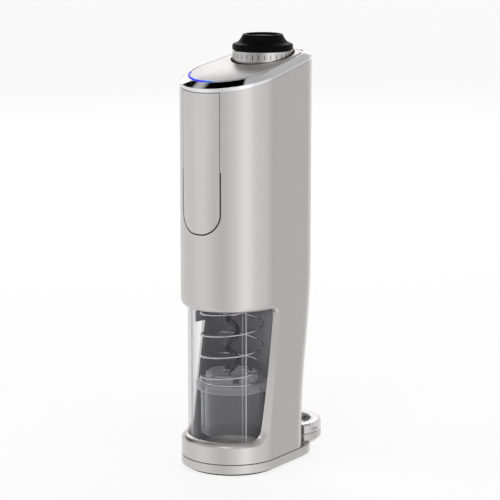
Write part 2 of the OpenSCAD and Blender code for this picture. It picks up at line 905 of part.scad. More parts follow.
module battery_tray() {
    color(dark) difference() {
        intersection() {
            union() {
                box([-cell_x - cell_r, cell_y - cell_r - 0.6, deck_top], [cell_x + cell_r, body_back, deck_top + 2]);
                box([-cell_x - 4, cell_y + cell_r + 0.2, deck_top + 1],
                    [cell_x + 4, cell_y + cell_r + 0.2 + tray_wall, cell_top]);
                box([-1.2, cell_y - cell_r, deck_top + 1], [1.2, cell_y - 5, cell_top]);
            }
            between(deck_top, cell_top, wall + part_gap);
        }
        disc(housing_r + part_gap, deck_top - cut, plate_top + part_gap);
    }
}

module battery_cells() {
    color([0.2, 0.45, 0.6]) for (s = [-1, 1])
        translate([s * cell_x, cell_y, 0]) {
            disc(cell_r, cell_bottom, cell_top - 1);
            disc(3, cell_top - 1 - cut, cell_top);
            disc(5, deck_top + 2, cell_bottom + cut);
        }
}

module upper_deck() {
    color(dark) difference() {
        between(upper_deck_bottom, upper_deck_top, wall + part_gap);
        box([-big, -big, 0], [big, post_y - 5, big]);
        translate([0, pump_y, 0]) disc(3, upper_deck_bottom - cut, upper_deck_top + cut);
    }
}

module pump_motor() {
    color(steel) translate([0, pump_y, 0]) {
        difference() {
            disc(pump_motor_r, upper_deck_top, pump_motor_top);
            disc(1 + run_fit, pump_motor_top - 6, pump_motor_top + cut);
        }
    }
}

module pump_crank() {
    color(brass) translate([0, pump_y, 0]) {
        disc(1, pump_motor_top - 5, pump_motor_top + 1);
        disc(5, pump_motor_top + 0.6, pump_motor_top + 2.6);
        translate([2.2, 0, 0]) disc(1.6, pump_motor_top + 2, pump_motor_top + 4.6);
    }
}

module pump_body() {
    color(black) translate([0, pump_y, 0]) difference() {
        union() {
            disc(pump_body_r, pump_motor_top, pump_body_top);
            disc(2.4, pump_body_top - cut, boss_bottom + 3);
        }
        disc(pump_body_r - 2, pump_motor_top + 0.5, pump_body_top - 5);
        disc(pump_body_r - 4, pump_body_top - 4, pump_body_top - 1.5);
        disc(3, pump_motor_top - cut, pump_motor_top + 1);
        disc(1.2, pump_body_top - 2, boss_bottom + 4);
        disc(pump_body_r - 4, pump_body_top - 5 - cut, pump_body_top - 4 + cut);
    }
}

module pump_diaphragm() {
    color(black) translate([0, pump_y, 0]) disc(pump_body_r - 2.2, pump_body_top - 6.2, pump_body_top - 5);
}

module port_boss() {
    color(black) translate([0, stopper_y, 0]) difference() {
        union() {
            disc(boss_r, boss_top - 9, boss_top);
            disc(port_bore_r + 2.4, boss_bottom, boss_top - 8);
        }
        disc(port_bore_r, boss_bottom + 3, boss_top + cut);
        disc(2.4, boss_bottom - cut, boss_bottom + 3 + cut);
        ring(port_bore_r + 3.4, port_bore_r + 1.2, boss_top - 1.1, boss_top + cut);
    }
}

module port_gasket() {
    color(dark) translate([0, stopper_y, 0])
        ring(port_bore_r + 3.3, port_bore_r + 1.3, boss_top - 1.1, boss_top + 0.1);
}

// ---------------------------------------------------------------- vacuum stopper

module stopper_core() {
    color(dark) translate([0, stopper_y, 0]) difference() {
        union() {
            disc(core_tube_r, core_flange_bottom - plug_l - 1, core_flange_bottom + cut);
            disc(core_hub_r + 1.6, core_flange_bottom, core_flange_bottom + core_flange_h);
            disc(core_hub_r, core_flange_bottom, ring_top_z);
            disc(recess_r - 1.3, ring_top_z - cut, cap_top - recess_h - 1);
        }
        disc(core_bore_r, boss_bottom, cap_top);
    }
}

module stopper_plug() {
    fins = 3;
    step = plug_l / fins;
    color(dark) translate([0, stopper_y, core_flange_bottom - plug_l]) difference() {
        union() {
            disc(plug_r - 1.6, 0, plug_l);
            for (k = [0:fins - 1])
                translate([0, 0, k * step + 0.5])
                    cylinder(r1 = plug_r - 1.4, r2 = plug_r, h = step * 0.5);
        }
        disc(core_tube_r, -cut, plug_l + cut);
    }
}

module stopper_cap() {
    waist = [cap_top_r + 2.2, cap_flange_h + 0.9];
    color(black) translate([0, stopper_y, cap_bottom]) rotate_extrude() polygon(concat(
        [[core_bore_r, cap_h - recess_h - 1], [recess_r - 1.3, cap_h - recess_h - 1],
            [recess_r - 1.3, 0], [cap_flange_r, 0], [cap_flange_r, cap_flange_h]],
        // concave side from the flange up to the crown
        [for (i = [0:6]) let (t = i / 6)
            (1 - t) * (1 - t) * [cap_flange_r - 0.8, cap_flange_h] + 2 * t * (1 - t) * waist
            + t * t * [cap_top_r + 0.7, cap_h - 1.2]],
        [[cap_top_r, cap_h], [recess_r, cap_h], [recess_r, cap_h - recess_h],
            [core_bore_r, cap_h - recess_h]]
    ));
}

module stopper_valve() {
    top = cap_top - 1;
    color(dark) translate([0, stopper_y, 0]) {
        disc(valve_r, cap_top - recess_h + valve_travel + 0.1, top);
        disc(core_bore_r - 0.3, cap_top - recess_h - 8, cap_top - recess_h + 2);
    }
}

module date_ring() {
    color(steel) translate([0, stopper_y, 0]) difference() {
        ring(date_ring_r, core_hub_r + 0.08, ring_bottom, ring_top_z);
        for (k = [0:date_marks - 1])
            rotate([0, 0, 360 * k / date_marks])
                box([date_ring_r - 0.3, -0.25, ring_bottom + 2.4], [date_ring_r + 1, 0.25, ring_top_z - 1.6]);
    }
}

// ---------------------------------------------------------------- controls and top

module paddle() {
    color(silver) difference() {
        union() {
            difference() {
                intersection() {
                    ring(nose_r, nose_r - wall, paddle_bottom, front_top + 20);
                    towards_front(-nose_r / 2) paddle_face();
                }
                above_slope(-groove_fine);
            }
            // ears for the pin
            for (s = [0, 1]) mirror([s, 0, 0])
                intersection() {
                    box([ear_x[0], -nose_r, pivot_z - 3], [ear_x[1], pivot_y + 2.2, pivot_z + 3]);
                    disc(nose_r - 0.4, pivot_z - 4, pivot_z + 4);
                }
            // bosses that press the switches
            for (z = switch_z)
                intersection() {
                    box([-2, -nose_r, z - 2], [2, board_y - board_h - switch_l - plunger_l - switch_play, z + 2]);
                    disc(nose_r - 0.4, z - 3, z + 3);
                }
        }
        translate([0, pivot_y, pivot_z]) rotate([0, 90, 0])
            cylinder(r = paddle_pin_r + run_fit, h = 2 * paddle_half + 4, center = true);
    }
}

module paddle_pin() {
    color(steel) translate([0, pivot_y, pivot_z]) rotate([0, 90, 0])
        cylinder(r = paddle_pin_r, h = 2 * lug_x[1] - 2, center = true);
}

module control_board() {
    color(green) box([-12.5, board_y - board_h, paddle_bottom + 4], [12.5, board_y, front_top - 3]);
}

module switches() {
    color(black) for (z = switch_z) {
        box([-3, board_y - board_h - switch_l, z - 3], [3, board_y - board_h, z + 3]);
        translate([0, board_y - board_h - switch_l + cut, z]) rotate([90, 0, 0])
            cylinder(r = 1.7, h = plunger_l + cut);
    }
}

module bezel() {
    lip = bezel_h * 0.42;
    color(chrome) difference() {
        union() {
            top_layer(0, lip, 0);
            // wide chamfer from the lip up to the light strip
            hull() {
                top_layer(lip - film, film, 0);
                top_layer(bezel_h - bezel_drop - film, film, bezel_w - bezel_land);
            }
        }
        between(front_top - 20, big * 1.2, bezel_w);
        translate([0, stopper_y, 0]) disc(boss_r + part_gap, front_top, big);
    }
}

module light_strip() {
    color([0.25, 0.45, 0.95]) intersection() {
        difference() {
            top_layer(1.6, bezel_h - 1.6, bezel_w + 0.1);
            between(front_top - 20, big * 1.2, bezel_w + 0.1 + strip_w);
        }
        linear_extrude(height = big)
            polygon([[0, 0], for (i = [-4:4]) 2 * nose_r * [sin(strip_half * i / 4), -cos(strip_half * i / 4)]]);
    }
}

module led_board() {
    color(green) difference() {
        top_layer(0.1, 1.2, bezel_w + 0.2);
        box([-big, -nose_r * 0.35, 0], [big, big, big]);
        between(front_top - 20, big * 1.2, bezel_w + 6);
    }
}

module top_plate() {
    inset = bezel_w + strip_w + 0.2;
    color(silver) difference() {
        union() {
            top_layer(1.5, bezel_h - plate_drop - 1.5, inset);
            // rim that closes the gap beside and behind the light strip
            difference() {
                top_layer(1.6, bezel_h - 2.6, bezel_w + 0.05);
                linear_extrude(height = big)
                    polygon([[0, 0], for (i = [-4:4])
                        2 * nose_r * [sin((strip_half + 1) * i / 4), -cos((strip_half + 1) * i / 4)]]);
                box([-big, -big, 0], [big, -nose_r * 0.4, big]);
            }
        }
        translate([0, stopper_y, 0]) disc(boss_r + part_gap, front_top - 10, big);
    }
}

base_pad();
base_cover();
base_shell();
base_screws();
charge_board();
charge_contacts();
power_jack();
cutter_body();
cutter_pins();
cutter_wheel(0);  // cutter_wheel_1
cutter_wheel(1);  // cutter_wheel_2
cutter_wheel(2);  // cutter_wheel_3
cutter_wheel(3);  // cutter_wheel_4
body_shell();
chassis();
spine_liner();
shell_retainer();
clear_shell();
contact_pads();
charge_leads();
output_bush();
gear_housing();
gear_screws();
motor_plate();
motor_can();
motor_magnets();
battery_tray();
battery_cells();
upper_deck();
pump_motor();
pump_body();
pump_diaphragm();
port_boss();
port_gasket();
control_board();
switches();
paddle_pin();
bezel();
light_strip();
led_board();
top_plate();
neck_spring();
output_spindle();
planet_pins();
worm();
planet(1);  // planet_1
planet(2);  // planet_2
planet(3);  // planet_3
sun_gear();
motor_shaft();
armature();
neck_guide();
paddle();
pump_crank();
stopper_core();
stopper_plug();
stopper_cap();
stopper_valve();
date_ring();
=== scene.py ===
"""An electric wine opener on its charging base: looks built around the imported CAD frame.

Lengths are in millimetres, heights are from the table, and MM turns them into metres.
The origin is on the worm's axis, -Y is the front and +Z is up, as in the CAD model.
"""
import json
import math

import bmesh
import bpy
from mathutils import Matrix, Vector


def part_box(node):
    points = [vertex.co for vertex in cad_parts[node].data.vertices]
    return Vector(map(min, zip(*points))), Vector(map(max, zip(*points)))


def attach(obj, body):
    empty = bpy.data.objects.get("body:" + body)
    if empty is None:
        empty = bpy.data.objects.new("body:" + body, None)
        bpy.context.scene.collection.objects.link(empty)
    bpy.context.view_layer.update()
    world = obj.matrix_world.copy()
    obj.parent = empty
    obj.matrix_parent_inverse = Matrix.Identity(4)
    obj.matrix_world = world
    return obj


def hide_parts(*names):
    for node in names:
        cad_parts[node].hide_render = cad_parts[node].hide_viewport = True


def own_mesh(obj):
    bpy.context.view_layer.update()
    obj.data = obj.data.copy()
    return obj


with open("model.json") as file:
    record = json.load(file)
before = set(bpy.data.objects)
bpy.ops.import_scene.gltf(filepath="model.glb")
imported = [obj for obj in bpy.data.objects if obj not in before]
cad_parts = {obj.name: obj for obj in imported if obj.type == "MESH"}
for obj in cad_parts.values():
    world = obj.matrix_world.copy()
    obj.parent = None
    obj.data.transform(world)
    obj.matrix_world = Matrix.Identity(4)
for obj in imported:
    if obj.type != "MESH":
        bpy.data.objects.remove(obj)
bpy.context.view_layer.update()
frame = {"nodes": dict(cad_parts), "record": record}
MM = 0.001


# ------------------------------------------------------------------ sizes from the frame

def corners(node):
    low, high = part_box(node)
    return low / MM, high / MM


def centre(node):
    low, high = corners(node)
    return (low + high) / 2


BODY_LOW, BODY_HIGH = corners("body_shell")
NOSE_R = BODY_HIGH.x
BACK = BODY_HIGH.y
BASE_H = BODY_LOW.z
CORNER_R = 13.7
SIDE_TAPER = math.radians(6.1)
WALL = 2.2
SLOPE = math.tan(math.radians(11.31))
FRONT_TOP = BODY_HIGH.z - SLOPE * (NOSE_R + BACK)
SHELL_OR = corners("clear_shell")[1].x
SHELL_IR = SHELL_OR - 1.6
SOCKET_R = SHELL_OR + 0.35
DECK_BOTTOM = corners("clear_shell")[1].z + 0.2
WINDOW_TOP = DECK_BOTTOM - 6
RING_TOP = BASE_H + 9.9
STEP = 9.5
STEP_TOP = WINDOW_TOP + 26.5
STEP_BOTTOM = BASE_H + 8
SPINE_BACK = BACK - STEP
PADDLE_LOW, PADDLE_HIGH = corners("paddle")
PADDLE_HALF = PADDLE_HIGH.x
STOPPER_Y = centre("port_boss").y
BOSS_R = corners("port_boss")[1].x
BEZEL_W = 4.6
BEZEL_H = 5.2
STRIP_W = 1.4
STRIP_HALF = math.radians(62)
DOCK_LOW, DOCK_HIGH = corners("cutter_body")
DOCK_R = DOCK_HIGH.x
DOCK_Y = DOCK_HIGH.y - DOCK_R
DOCK_FRONT = DOCK_LOW.y
TAU = 2 * math.pi


def slope_z(y, above=0.0):
    """Height of the sloping top at depth y, plus a height above it."""
    return FRONT_TOP + SLOPE * (y + NOSE_R) + above


def back_at(z):
    """Depth of the spine's back face at height z: two equal arcs join the two faces."""
    height = STEP_TOP - STEP_BOTTOM
    radius = (height ** 2 + STEP ** 2) / (4 * STEP)
    if z >= STEP_TOP:
        return BACK
    if z <= STEP_BOTTOM:
        return SPINE_BACK
    if z > (STEP_TOP + STEP_BOTTOM) / 2:
        return BACK - radius + math.sqrt(radius ** 2 - (STEP_TOP - z) ** 2)
    return SPINE_BACK + radius - math.sqrt(radius ** 2 - (z - STEP_BOTTOM) ** 2)


# ------------------------------------------------------------------ outline of the body

def arc(cx, cy, radius, start, end, steps):
    return [(cx + radius * math.cos(start + (end - start) * i / steps),
             cy + radius * math.sin(start + (end - start) * i / steps)) for i in range(steps + 1)]


def outline(inset, back=None):
    """Closed outline from the front centre, anticlockwise, moved in by inset."""
    nose_steps, side_steps, corner_steps, back_steps = 56, 10, 22, 6
    back = BACK if back is None else back
    corner_y = back - CORNER_R
    corner_x = (NOSE_R - CORNER_R - corner_y * math.sin(SIDE_TAPER)) / math.cos(SIDE_TAPER)
    nose = arc(0, 0, NOSE_R - inset, -math.pi / 2, SIDE_TAPER, nose_steps)
    corner = arc(corner_x, corner_y, CORNER_R - inset, SIDE_TAPER, math.pi / 2, corner_steps)
    side = [(nose[-1][0] + (corner[0][0] - nose[-1][0]) * i / side_steps,
             nose[-1][1] + (corner[0][1] - nose[-1][1]) * i / side_steps) for i in range(1, side_steps)]
    rear = [(corner_x * (1 - i / back_steps), corner[-1][1]) for i in range(1, back_steps + 1)]
    half = nose + side + corner + rear
    return half + [(-x, y) for x, y in reversed(half[1:-1])]


def half_width(y):
    """Half the body's width at depth y, on the nose or on the flat side."""
    if y < NOSE_R * math.sin(SIDE_TAPER):
        return math.sqrt(max(0.0, NOSE_R ** 2 - y ** 2))
    return (NOSE_R - y * math.sin(SIDE_TAPER)) / math.cos(SIDE_TAPER)


# ------------------------------------------------------------------ mesh tools

# edges between faces at more than this angle, in degrees, are drawn sharp
SHARP = 32.0


def new_object(name, verts, faces, sharp=SHARP):
    mesh = bpy.data.meshes.new(name)
    mesh.from_pydata([(x * MM, y * MM, z * MM) for x, y, z in verts], [], faces)
    mesh.validate()
    mesh.update()
    obj = bpy.data.objects.new(name, mesh)
    bpy.context.scene.collection.objects.link(obj)
    shade(obj, sharp)
    return obj


def shade(obj, sharp):
    obj.data.shade_smooth()
    obj.data.set_sharp_from_angle(angle=math.radians(sharp))


def loft(name, rings, closed=True, caps=True, sharp=SHARP):
    """Skin over rings of equal length, each closed on itself; closed joins last to first."""
    n = len(rings[0])
    verts = [p for ring in rings for p in ring]
    spans = len(rings) if closed else len(rings) - 1
    faces = []
    for i in range(spans):
        a, b = i * n, ((i + 1) % len(rings)) * n
        faces += [(a + j, a + (j + 1) % n, b + (j + 1) % n, b + j) for j in range(n)]
    if caps and not closed:
        faces.append(tuple(reversed(range(n))))
        faces.append(tuple((len(rings) - 1) * n + j for j in range(n)))
    return new_object(name, verts, faces, sharp)


def lathe(name, profile, at=(0.0, 0.0), segments=128, sharp=SHARP):
    """Turns a closed profile of (radius, height) about a vertical axis. A radius of 0 is a pole."""
    verts, index = [], []
    for r, z in profile:
        if r <= 1e-6:
            index.append([len(verts)] * segments)
            verts.append((at[0], at[1], z))
        else:
            index.append(list(range(len(verts), len(verts) + segments)))
            verts += [(at[0] + r * math.cos(TAU * k / segments), at[1] + r * math.sin(TAU * k / segments), z)
                      for k in range(segments)]
    faces = []
    for i in range(len(profile)):
        a, b = index[i], index[(i + 1) % len(profile)]
        for k in range(segments):
            loop = []
            for v in (a[k], a[(k + 1) % segments], b[(k + 1) % segments], b[k]):
                if v not in loop:
                    loop.append(v)
            if len(loop) > 2:
                faces.append(tuple(loop))
    obj = new_object(name, verts, faces, sharp)
    outwards(obj)
    return obj


def outwards(obj):
    bm = bmesh.new()
    bm.from_mesh(obj.data)
    bmesh.ops.recalc_face_normals(bm, faces=bm.faces)
    bm.to_mesh(obj.data)
    bm.free()


def apply(obj):
    deps = bpy.context.evaluated_depsgraph_get()
    mesh = bpy.data.meshes.new_from_object(obj.evaluated_get(deps))
    obj.modifiers.clear()
    obj.data = mesh
    shade(obj, SHARP)


def combine(obj, other, operation="DIFFERENCE"):
    """Cuts other out of obj, or does another boolean, and takes other away."""
    mod = obj.modifiers.new("combine", "BOOLEAN")
    mod.operation = operation
    mod.solver = "EXACT"
    mod.object = other
    apply(obj)
    bpy.data.objects.remove(other)


def bevel(obj, width, segments=2, angle=38.0):
    mod = obj.modifiers.new("bevel", "BEVEL")
    mod.width = width * MM
    mod.segments = segments
    mod.limit_method = "ANGLE"
    mod.angle_limit = math.radians(angle)
    mod.use_clamp_overlap = True
    mod.miter_outer = "MITER_ARC"
    apply(obj)


def block(name, low, high):
    (x0, y0, z0), (x1, y1, z1) = low, high
    verts = [(x, y, z) for z in (z0, z1) for y in (y0, y1) for x in (x0, x1)]
    faces = [(0, 2, 3, 1), (4, 5, 7, 6), (0, 1, 5, 4), (2, 6, 7, 3), (0, 4, 6, 2), (1, 3, 7, 5)]
    return new_object(name, verts, faces)


def tube_path(name, points, radii, sides=16):
    """Round wire along points, with its own radius at each point, in minimal-twist frames."""
    rings = []
    pts = [Vector(p) for p in points]
    tangents = [(pts[min(i + 1, len(pts) - 1)] - pts[max(i - 1, 0)]).normalized() for i in range(len(pts))]
    normal = tangents[0].orthogonal().normalized()
    for p, t, r in zip(pts, tangents, radii):
        normal = (normal - t * normal.dot(t)).normalized()
        side = t.cross(normal)
        rings.append([tuple(p + r * (math.cos(TAU * k / sides) * normal + math.sin(TAU * k / sides) * side))
                      for k in range(sides)])
    obj = loft(name, rings, closed=False, sharp=50)
    outwards(obj)
    return obj


def fillet(corner_points, radii, steps=6):
    """Rounds the corners of a closed (radius, height) outline."""
    out = []
    n = len(corner_points)
    for i, radius in enumerate(radii):
        q = Vector(corner_points[i])
        if radius <= 0:
            out.append(tuple(q))
            continue
        u = (Vector(corner_points[i - 1]) - q).normalized()
        v = (Vector(corner_points[(i + 1) % n]) - q).normalized()
        half = math.acos(max(-1, min(1, u.dot(v)))) / 2
        reach = radius / math.tan(half)
        c = q + (u + v).normalized() * radius / math.sin(half)
        a, b = q + u * reach - c, q + v * reach - c
        start = math.atan2(a.y, a.x)
        turn = (math.atan2(b.y, b.x) - start + math.pi) % TAU - math.pi
        out += [(c.x + radius * math.cos(start + turn * k / steps),
                 c.y + radius * math.sin(start + turn * k / steps)) for k in range(steps + 1)]
    return out


# ------------------------------------------------------------------ materials

class Shader:
    """A Principled material with helpers that add procedural detail to it."""

    def __init__(self, name, colour, metallic=0.0, roughness=0.5, **inputs):
        self.material = bpy.data.materials.new(name)
        self.material.use_nodes = True
        self.tree = self.material.node_tree
        self.bsdf = self.tree.nodes["Principled BSDF"]
        self.colour = colour
        self.bsdf.inputs["Base Color"].default_value = (*colour, 1)
        self.bsdf.inputs["Metallic"].default_value = metallic
        self.bsdf.inputs["Roughness"].default_value = roughness
        for key, value in inputs.items():
            self.bsdf.inputs[key.replace("_", " ").title().replace("Ior", "IOR")].default_value = value

    def node(self, kind, **values):
        made = self.tree.nodes.new(kind)
        for key, value in values.items():
            setattr(made, key, value)
        return made

    def link(self, a, b):
        self.tree.links.new(a, b)

    def coordinates(self, stretch=(1, 1, 1)):
        coord = self.node("ShaderNodeTexCoord")
        mapping = self.node("ShaderNodeMapping")
        mapping.inputs["Scale"].default_value = stretch
        self.link(coord.outputs["Object"], mapping.inputs["Vector"])
        return mapping.outputs["Vector"]

    def noise(self, scale, detail=3.0, stretch=(1, 1, 1)):
        noise = self.node("ShaderNodeTexNoise")
        noise.inputs["Scale"].default_value = scale
        noise.inputs["Detail"].default_value = detail
        self.link(self.coordinates(stretch), noise.inputs["Vector"])
        return noise.outputs["Fac"]

    def spread(self, value, low, high, source=(0.3, 0.7)):
        """Maps the source range, by default that of a noise, to low and high."""
        node = self.node("ShaderNodeMapRange")
        node.inputs["From Min"].default_value = source[0]
        node.inputs["From Max"].default_value = source[1]
        node.inputs["To Min"].default_value = low
        node.inputs["To Max"].default_value = high
        self.link(value, node.inputs["Value"])
        return node.outputs["Result"]

    def rough(self, value, low, high):
        self.link(self.spread(value, low, high), self.bsdf.inputs["Roughness"])

    def tint(self, value, amount, other=None):
        """Mixes the colour with another one, or with itself made darker by amount."""
        other = other or tuple(c * (1 - amount) for c in self.colour)
        mix = self.node("ShaderNodeMix", data_type="RGBA")
        mix.inputs[6].default_value = (*self.colour, 1)
        mix.inputs[7].default_value = (*other, 1)
        self.link(self.spread(value, 0, 1), mix.inputs[0])
        self.link(mix.outputs[2], self.bsdf.inputs["Base Color"])

    def bump(self, value, distance):
        """Adds relief; the distance is the height of the noise in millimetres."""
        bump = self.node("ShaderNodeBump")
        bump.inputs["Distance"].default_value = distance * MM
        self.link(value, bump.inputs["Height"])
        self.link(bump.outputs["Normal"], self.bsdf.inputs["Normal"])


def satin_paint(name, colour, roughness=0.25):
    """Metallic paint: fine flakes, a slow change of gloss and a faint orange peel."""
    s = Shader(name, colour, 0.86, roughness, coat_weight=0.12, coat_roughness=0.2)
    s.rough(s.noise(160, 3), roughness - 0.012, roughness + 0.02)
    s.tint(s.noise(1500, 2), 0.018)
    s.bump(s.noise(2600, 1), 0.0012)
    return s.material


def chrome():
    """Bright plating over a slightly wavy surface."""
    s = Shader("bright_chrome", (0.86, 0.87, 0.88), 1.0, 0.05)
    s.rough(s.noise(45, 5), 0.03, 0.10)
    s.tint(s.noise(80, 3), 0.04)
    s.bump(s.noise(500, 2), 0.004)
    return s.material


def brushed(name, colour, roughness, stretch, depth=0.02):
    """Metal with fine brush lines along the axis that stretch keeps small."""
    s = Shader(name, colour, 1.0, roughness)
    lines = s.noise(1.0, 3, stretch)
    s.rough(lines, roughness - 0.07, roughness + 0.09)
    s.tint(lines, 0.10)
    s.bump(lines, depth)
    return s.material


def ring_steel():
    """Turned steel: fine lines round the ring, and slow upright bands of painted reflection, darker and
    lighter, in place of the bright and dark streaks that brushed metal reflects.
    """
    s = Shader("ring_steel", (0.66, 0.65, 0.64), 1.0, 0.12)
    lines = s.noise(1.0, 3, (40, 40, 3200))
    s.rough(lines, 0.07, 0.17)
    # painted reflection: slow upright bands darken the colour by up to 0.55, standing in for brushed metal's
    # streaky highlights
    s.tint(s.noise(1.0, 1.5, (95, 95, 4)), 0.55)
    s.bump(lines, 0.012)
    return s.material


def plastic(name, colour, roughness, grain=900.0, depth=0.03, **inputs):
    """Moulded plastic with a fine spark-eroded grain."""
    s = Shader(name, colour, 0.0, roughness, **inputs)
    s.rough(s.noise(60, 4), roughness - 0.05, roughness + 0.06)
    s.tint(s.noise(grain, 2), 0.12)
    s.bump(s.noise(grain, 2), depth)
    return s.material


def rubber():
    """Black rubber with a soft, slightly uneven sheen."""
    s = Shader("soft_rubber", (0.002, 0.002, 0.0022), 0.0, 0.40, specular_ior_level=0.05)
    s.rough(s.noise(120, 4), 0.36, 0.50)
    s.tint(s.noise(700, 3), 0.3, (0.0035, 0.0035, 0.004))
    s.bump(s.noise(1400, 2), 0.03)
    return s.material


def clear(name, colour, face_on, edge_on, roughness=0.04):
    """Thin clear plastic: faint when seen face on and whiter towards its edges."""
    s = Shader(name, colour, 0.0, roughness, specular_ior_level=0.7)
    weight = s.node("ShaderNodeLayerWeight")
    weight.inputs["Blend"].default_value = 0.5
    curve = s.node("ShaderNodeMath", operation="POWER")
    curve.inputs[1].default_value = 3.0
    s.link(weight.outputs["Facing"], curve.inputs[0])
    s.link(s.spread(curve.outputs["Value"], face_on, edge_on, (0.0, 1.0)), s.bsdf.inputs["Alpha"])
    s.rough(s.noise(40, 4), roughness * 0.6, roughness * 1.8)
    s.bump(s.noise(90, 2), 0.01)
    return s.material


def light_guide():
    """Milky strip that glows blue round its left and front and fades out towards the right."""
    milky, dark, fade = (0.42, 0.43, 0.46), (0.004, 0.008, 0.05), (-2 * MM, 11 * MM)
    s = Shader("light_strip_lit", milky, 0.0, 0.25, specular_ior_level=0.2)
    coord = s.node("ShaderNodeTexCoord")
    parts = s.node("ShaderNodeSeparateXYZ")
    s.link(coord.outputs["Object"], parts.inputs["Vector"])
    lit = s.spread(parts.outputs["X"], 1.0, 0.0, fade)
    ramp = s.node("ShaderNodeValToRGB")
    ramp.color_ramp.elements[0].color = (0.0, 0.0, 0.0, 1)
    ramp.color_ramp.elements[1].color = (0.002, 0.006, 0.62, 1)
    for at, colour in ((0.30, (0.01, 0.05, 0.16)), (0.55, (0.01, 0.15, 0.60)), (0.8, (0.003, 0.02, 0.66))):
        ramp.color_ramp.elements.new(at).color = (*colour, 1)
    s.link(lit, ramp.inputs["Fac"])
    s.link(ramp.outputs["Color"], s.bsdf.inputs["Emission Color"])
    s.bsdf.inputs["Emission Strength"].default_value = 1.35
    body = s.node("ShaderNodeMix", data_type="RGBA")
    body.inputs[6].default_value = (*milky, 1)
    body.inputs[7].default_value = (*dark, 1)
    s.link(s.spread(lit, 0.0, 1.0, (0.2, 0.5)), body.inputs[0])
    s.link(body.outputs[2], s.bsdf.inputs["Base Color"])
    s.rough(s.noise(200, 3), 0.2, 0.35)
    s.bump(s.noise(700, 2), 0.01)
    return s.material


def circuit_board():
    """Green board with a grid of tracks."""
    s = Shader("circuit_board", (0.02, 0.16, 0.07), 0.0, 0.35)
    tracks = s.node("ShaderNodeTexBrick")
    tracks.inputs["Scale"].default_value = 260
    tracks.inputs["Mortar Size"].default_value = 0.05
    tracks.inputs["Color1"].default_value = (0.02, 0.17, 0.07, 1)
    tracks.inputs["Color2"].default_value = (0.015, 0.12, 0.05, 1)
    tracks.inputs["Mortar"].default_value = (0.10, 0.34, 0.16, 1)
    s.link(s.coordinates(), tracks.inputs["Vector"])
    s.link(tracks.outputs["Color"], s.bsdf.inputs["Base Color"])
    s.bump(tracks.outputs["Fac"], 0.04)
    return s.material


MATERIALS = {
    "satin_silver": satin_paint("satin_silver", (0.66, 0.635, 0.63)),
    "paddle_silver": satin_paint("paddle_silver", (0.68, 0.655, 0.65), 0.25),
    "base_silver": satin_paint("base_silver", (0.66, 0.64, 0.635), 0.34),
    "frame_silver": satin_paint("frame_silver", (0.74, 0.72, 0.725), 0.24),
    "bright_chrome": chrome(),
    "brushed_plate": brushed("brushed_plate", (0.70, 0.69, 0.685), 0.43, (2600, 30, 30)),
    "ring_steel": ring_steel(),
    "mark_ink": plastic("mark_ink", (0.03, 0.03, 0.03), 0.5, 500, 0.01),
    "steel": brushed("steel", (0.50, 0.50, 0.51), 0.30, (60, 60, 1500)),
    "wire": brushed("wire", (0.62, 0.62, 0.64), 0.22, (500, 500, 500), 0.006),
    "magnet": plastic("magnet", (0.03, 0.03, 0.032), 0.5, 500),
    "brass": brushed("brass", (0.72, 0.50, 0.22), 0.26, (60, 60, 1800)),
    "clear_shell": clear("clear_shell", (0.86, 0.87, 0.89), 0.03, 0.75),
    # whiter, less clear plastic used as a painted highlight on the chamber's rails
    "clear_painted_highlight": clear("clear_painted_highlight", (0.92, 0.93, 0.95), 0.72, 0.95),
    # whiter, less clear plastic used as a painted highlight on the guide's flange and collar
    "clear_rim_painted_highlight": clear("clear_rim_painted_highlight", (0.90, 0.91, 0.94), 0.22, 0.9, 0.05),
    "clear_guide": clear("clear_guide", (0.86, 0.87, 0.90), 0.09, 0.9, 0.05),
    "smoke_plastic": plastic("smoke_plastic", (0.165, 0.157, 0.17), 0.36),
    "black_plastic": plastic("black_plastic", (0.014, 0.014, 0.016), 0.28, 1200, 0.01),
    "worm_coating": plastic("worm_coating", (0.010, 0.008, 0.012), 0.26, 700, 0.012),
    "soft_rubber": rubber(),
    "light_strip": light_guide(),
    "board_green": circuit_board(),
    "cell_sleeve": plastic("cell_sleeve", (0.03, 0.12, 0.24), 0.3, 300, 0.01),
}

# material of each CAD node, by the name of its slot in the record
NODE_LOOKS = {slot["node"]: slot["material_slot"] for slot in frame["record"]["subparts"]}
LOOK_OF_SLOT = {"clear_plastic": "clear_guide", "light_blue": "light_strip"}


def dress(obj, look):
    obj.data.materials.clear()
    obj.data.materials.append(MATERIALS[look])


def place(obj, body, look, slot, *nodes):
    """Gives a finished piece its material, its body and the CAD nodes that it stands for."""
    dress(obj, look)
    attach(obj, body)
    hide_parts(*nodes)


# ------------------------------------------------------------------ camera, light and floor

CAMERA_AZIMUTH = math.radians(40.65)
CAMERA_DISTANCE = 1237.0
CAMERA_HEIGHT = 369.0
AIM_HEIGHT = 129.0
AIM_SIDE = 10.6
LENS = 155.2
SENSOR = 36.0


def make_camera():
    across = Vector((math.cos(CAMERA_AZIMUTH), math.sin(CAMERA_AZIMUTH), 0))
    place_at = Vector((math.sin(CAMERA_AZIMUTH) * CAMERA_DISTANCE,
                       -math.cos(CAMERA_AZIMUTH) * CAMERA_DISTANCE, CAMERA_HEIGHT))
    aim = across * AIM_SIDE + Vector((0, 0, AIM_HEIGHT))
    camera = bpy.data.objects.new("camera", bpy.data.cameras.new("camera"))
    camera.data.lens = LENS
    camera.data.sensor_width = SENSOR
    camera.location = place_at * MM
    camera.rotation_euler = (aim - place_at).to_track_quat("-Z", "Y").to_euler()
    bpy.context.scene.collection.objects.link(camera)
    bpy.context.scene.camera = camera


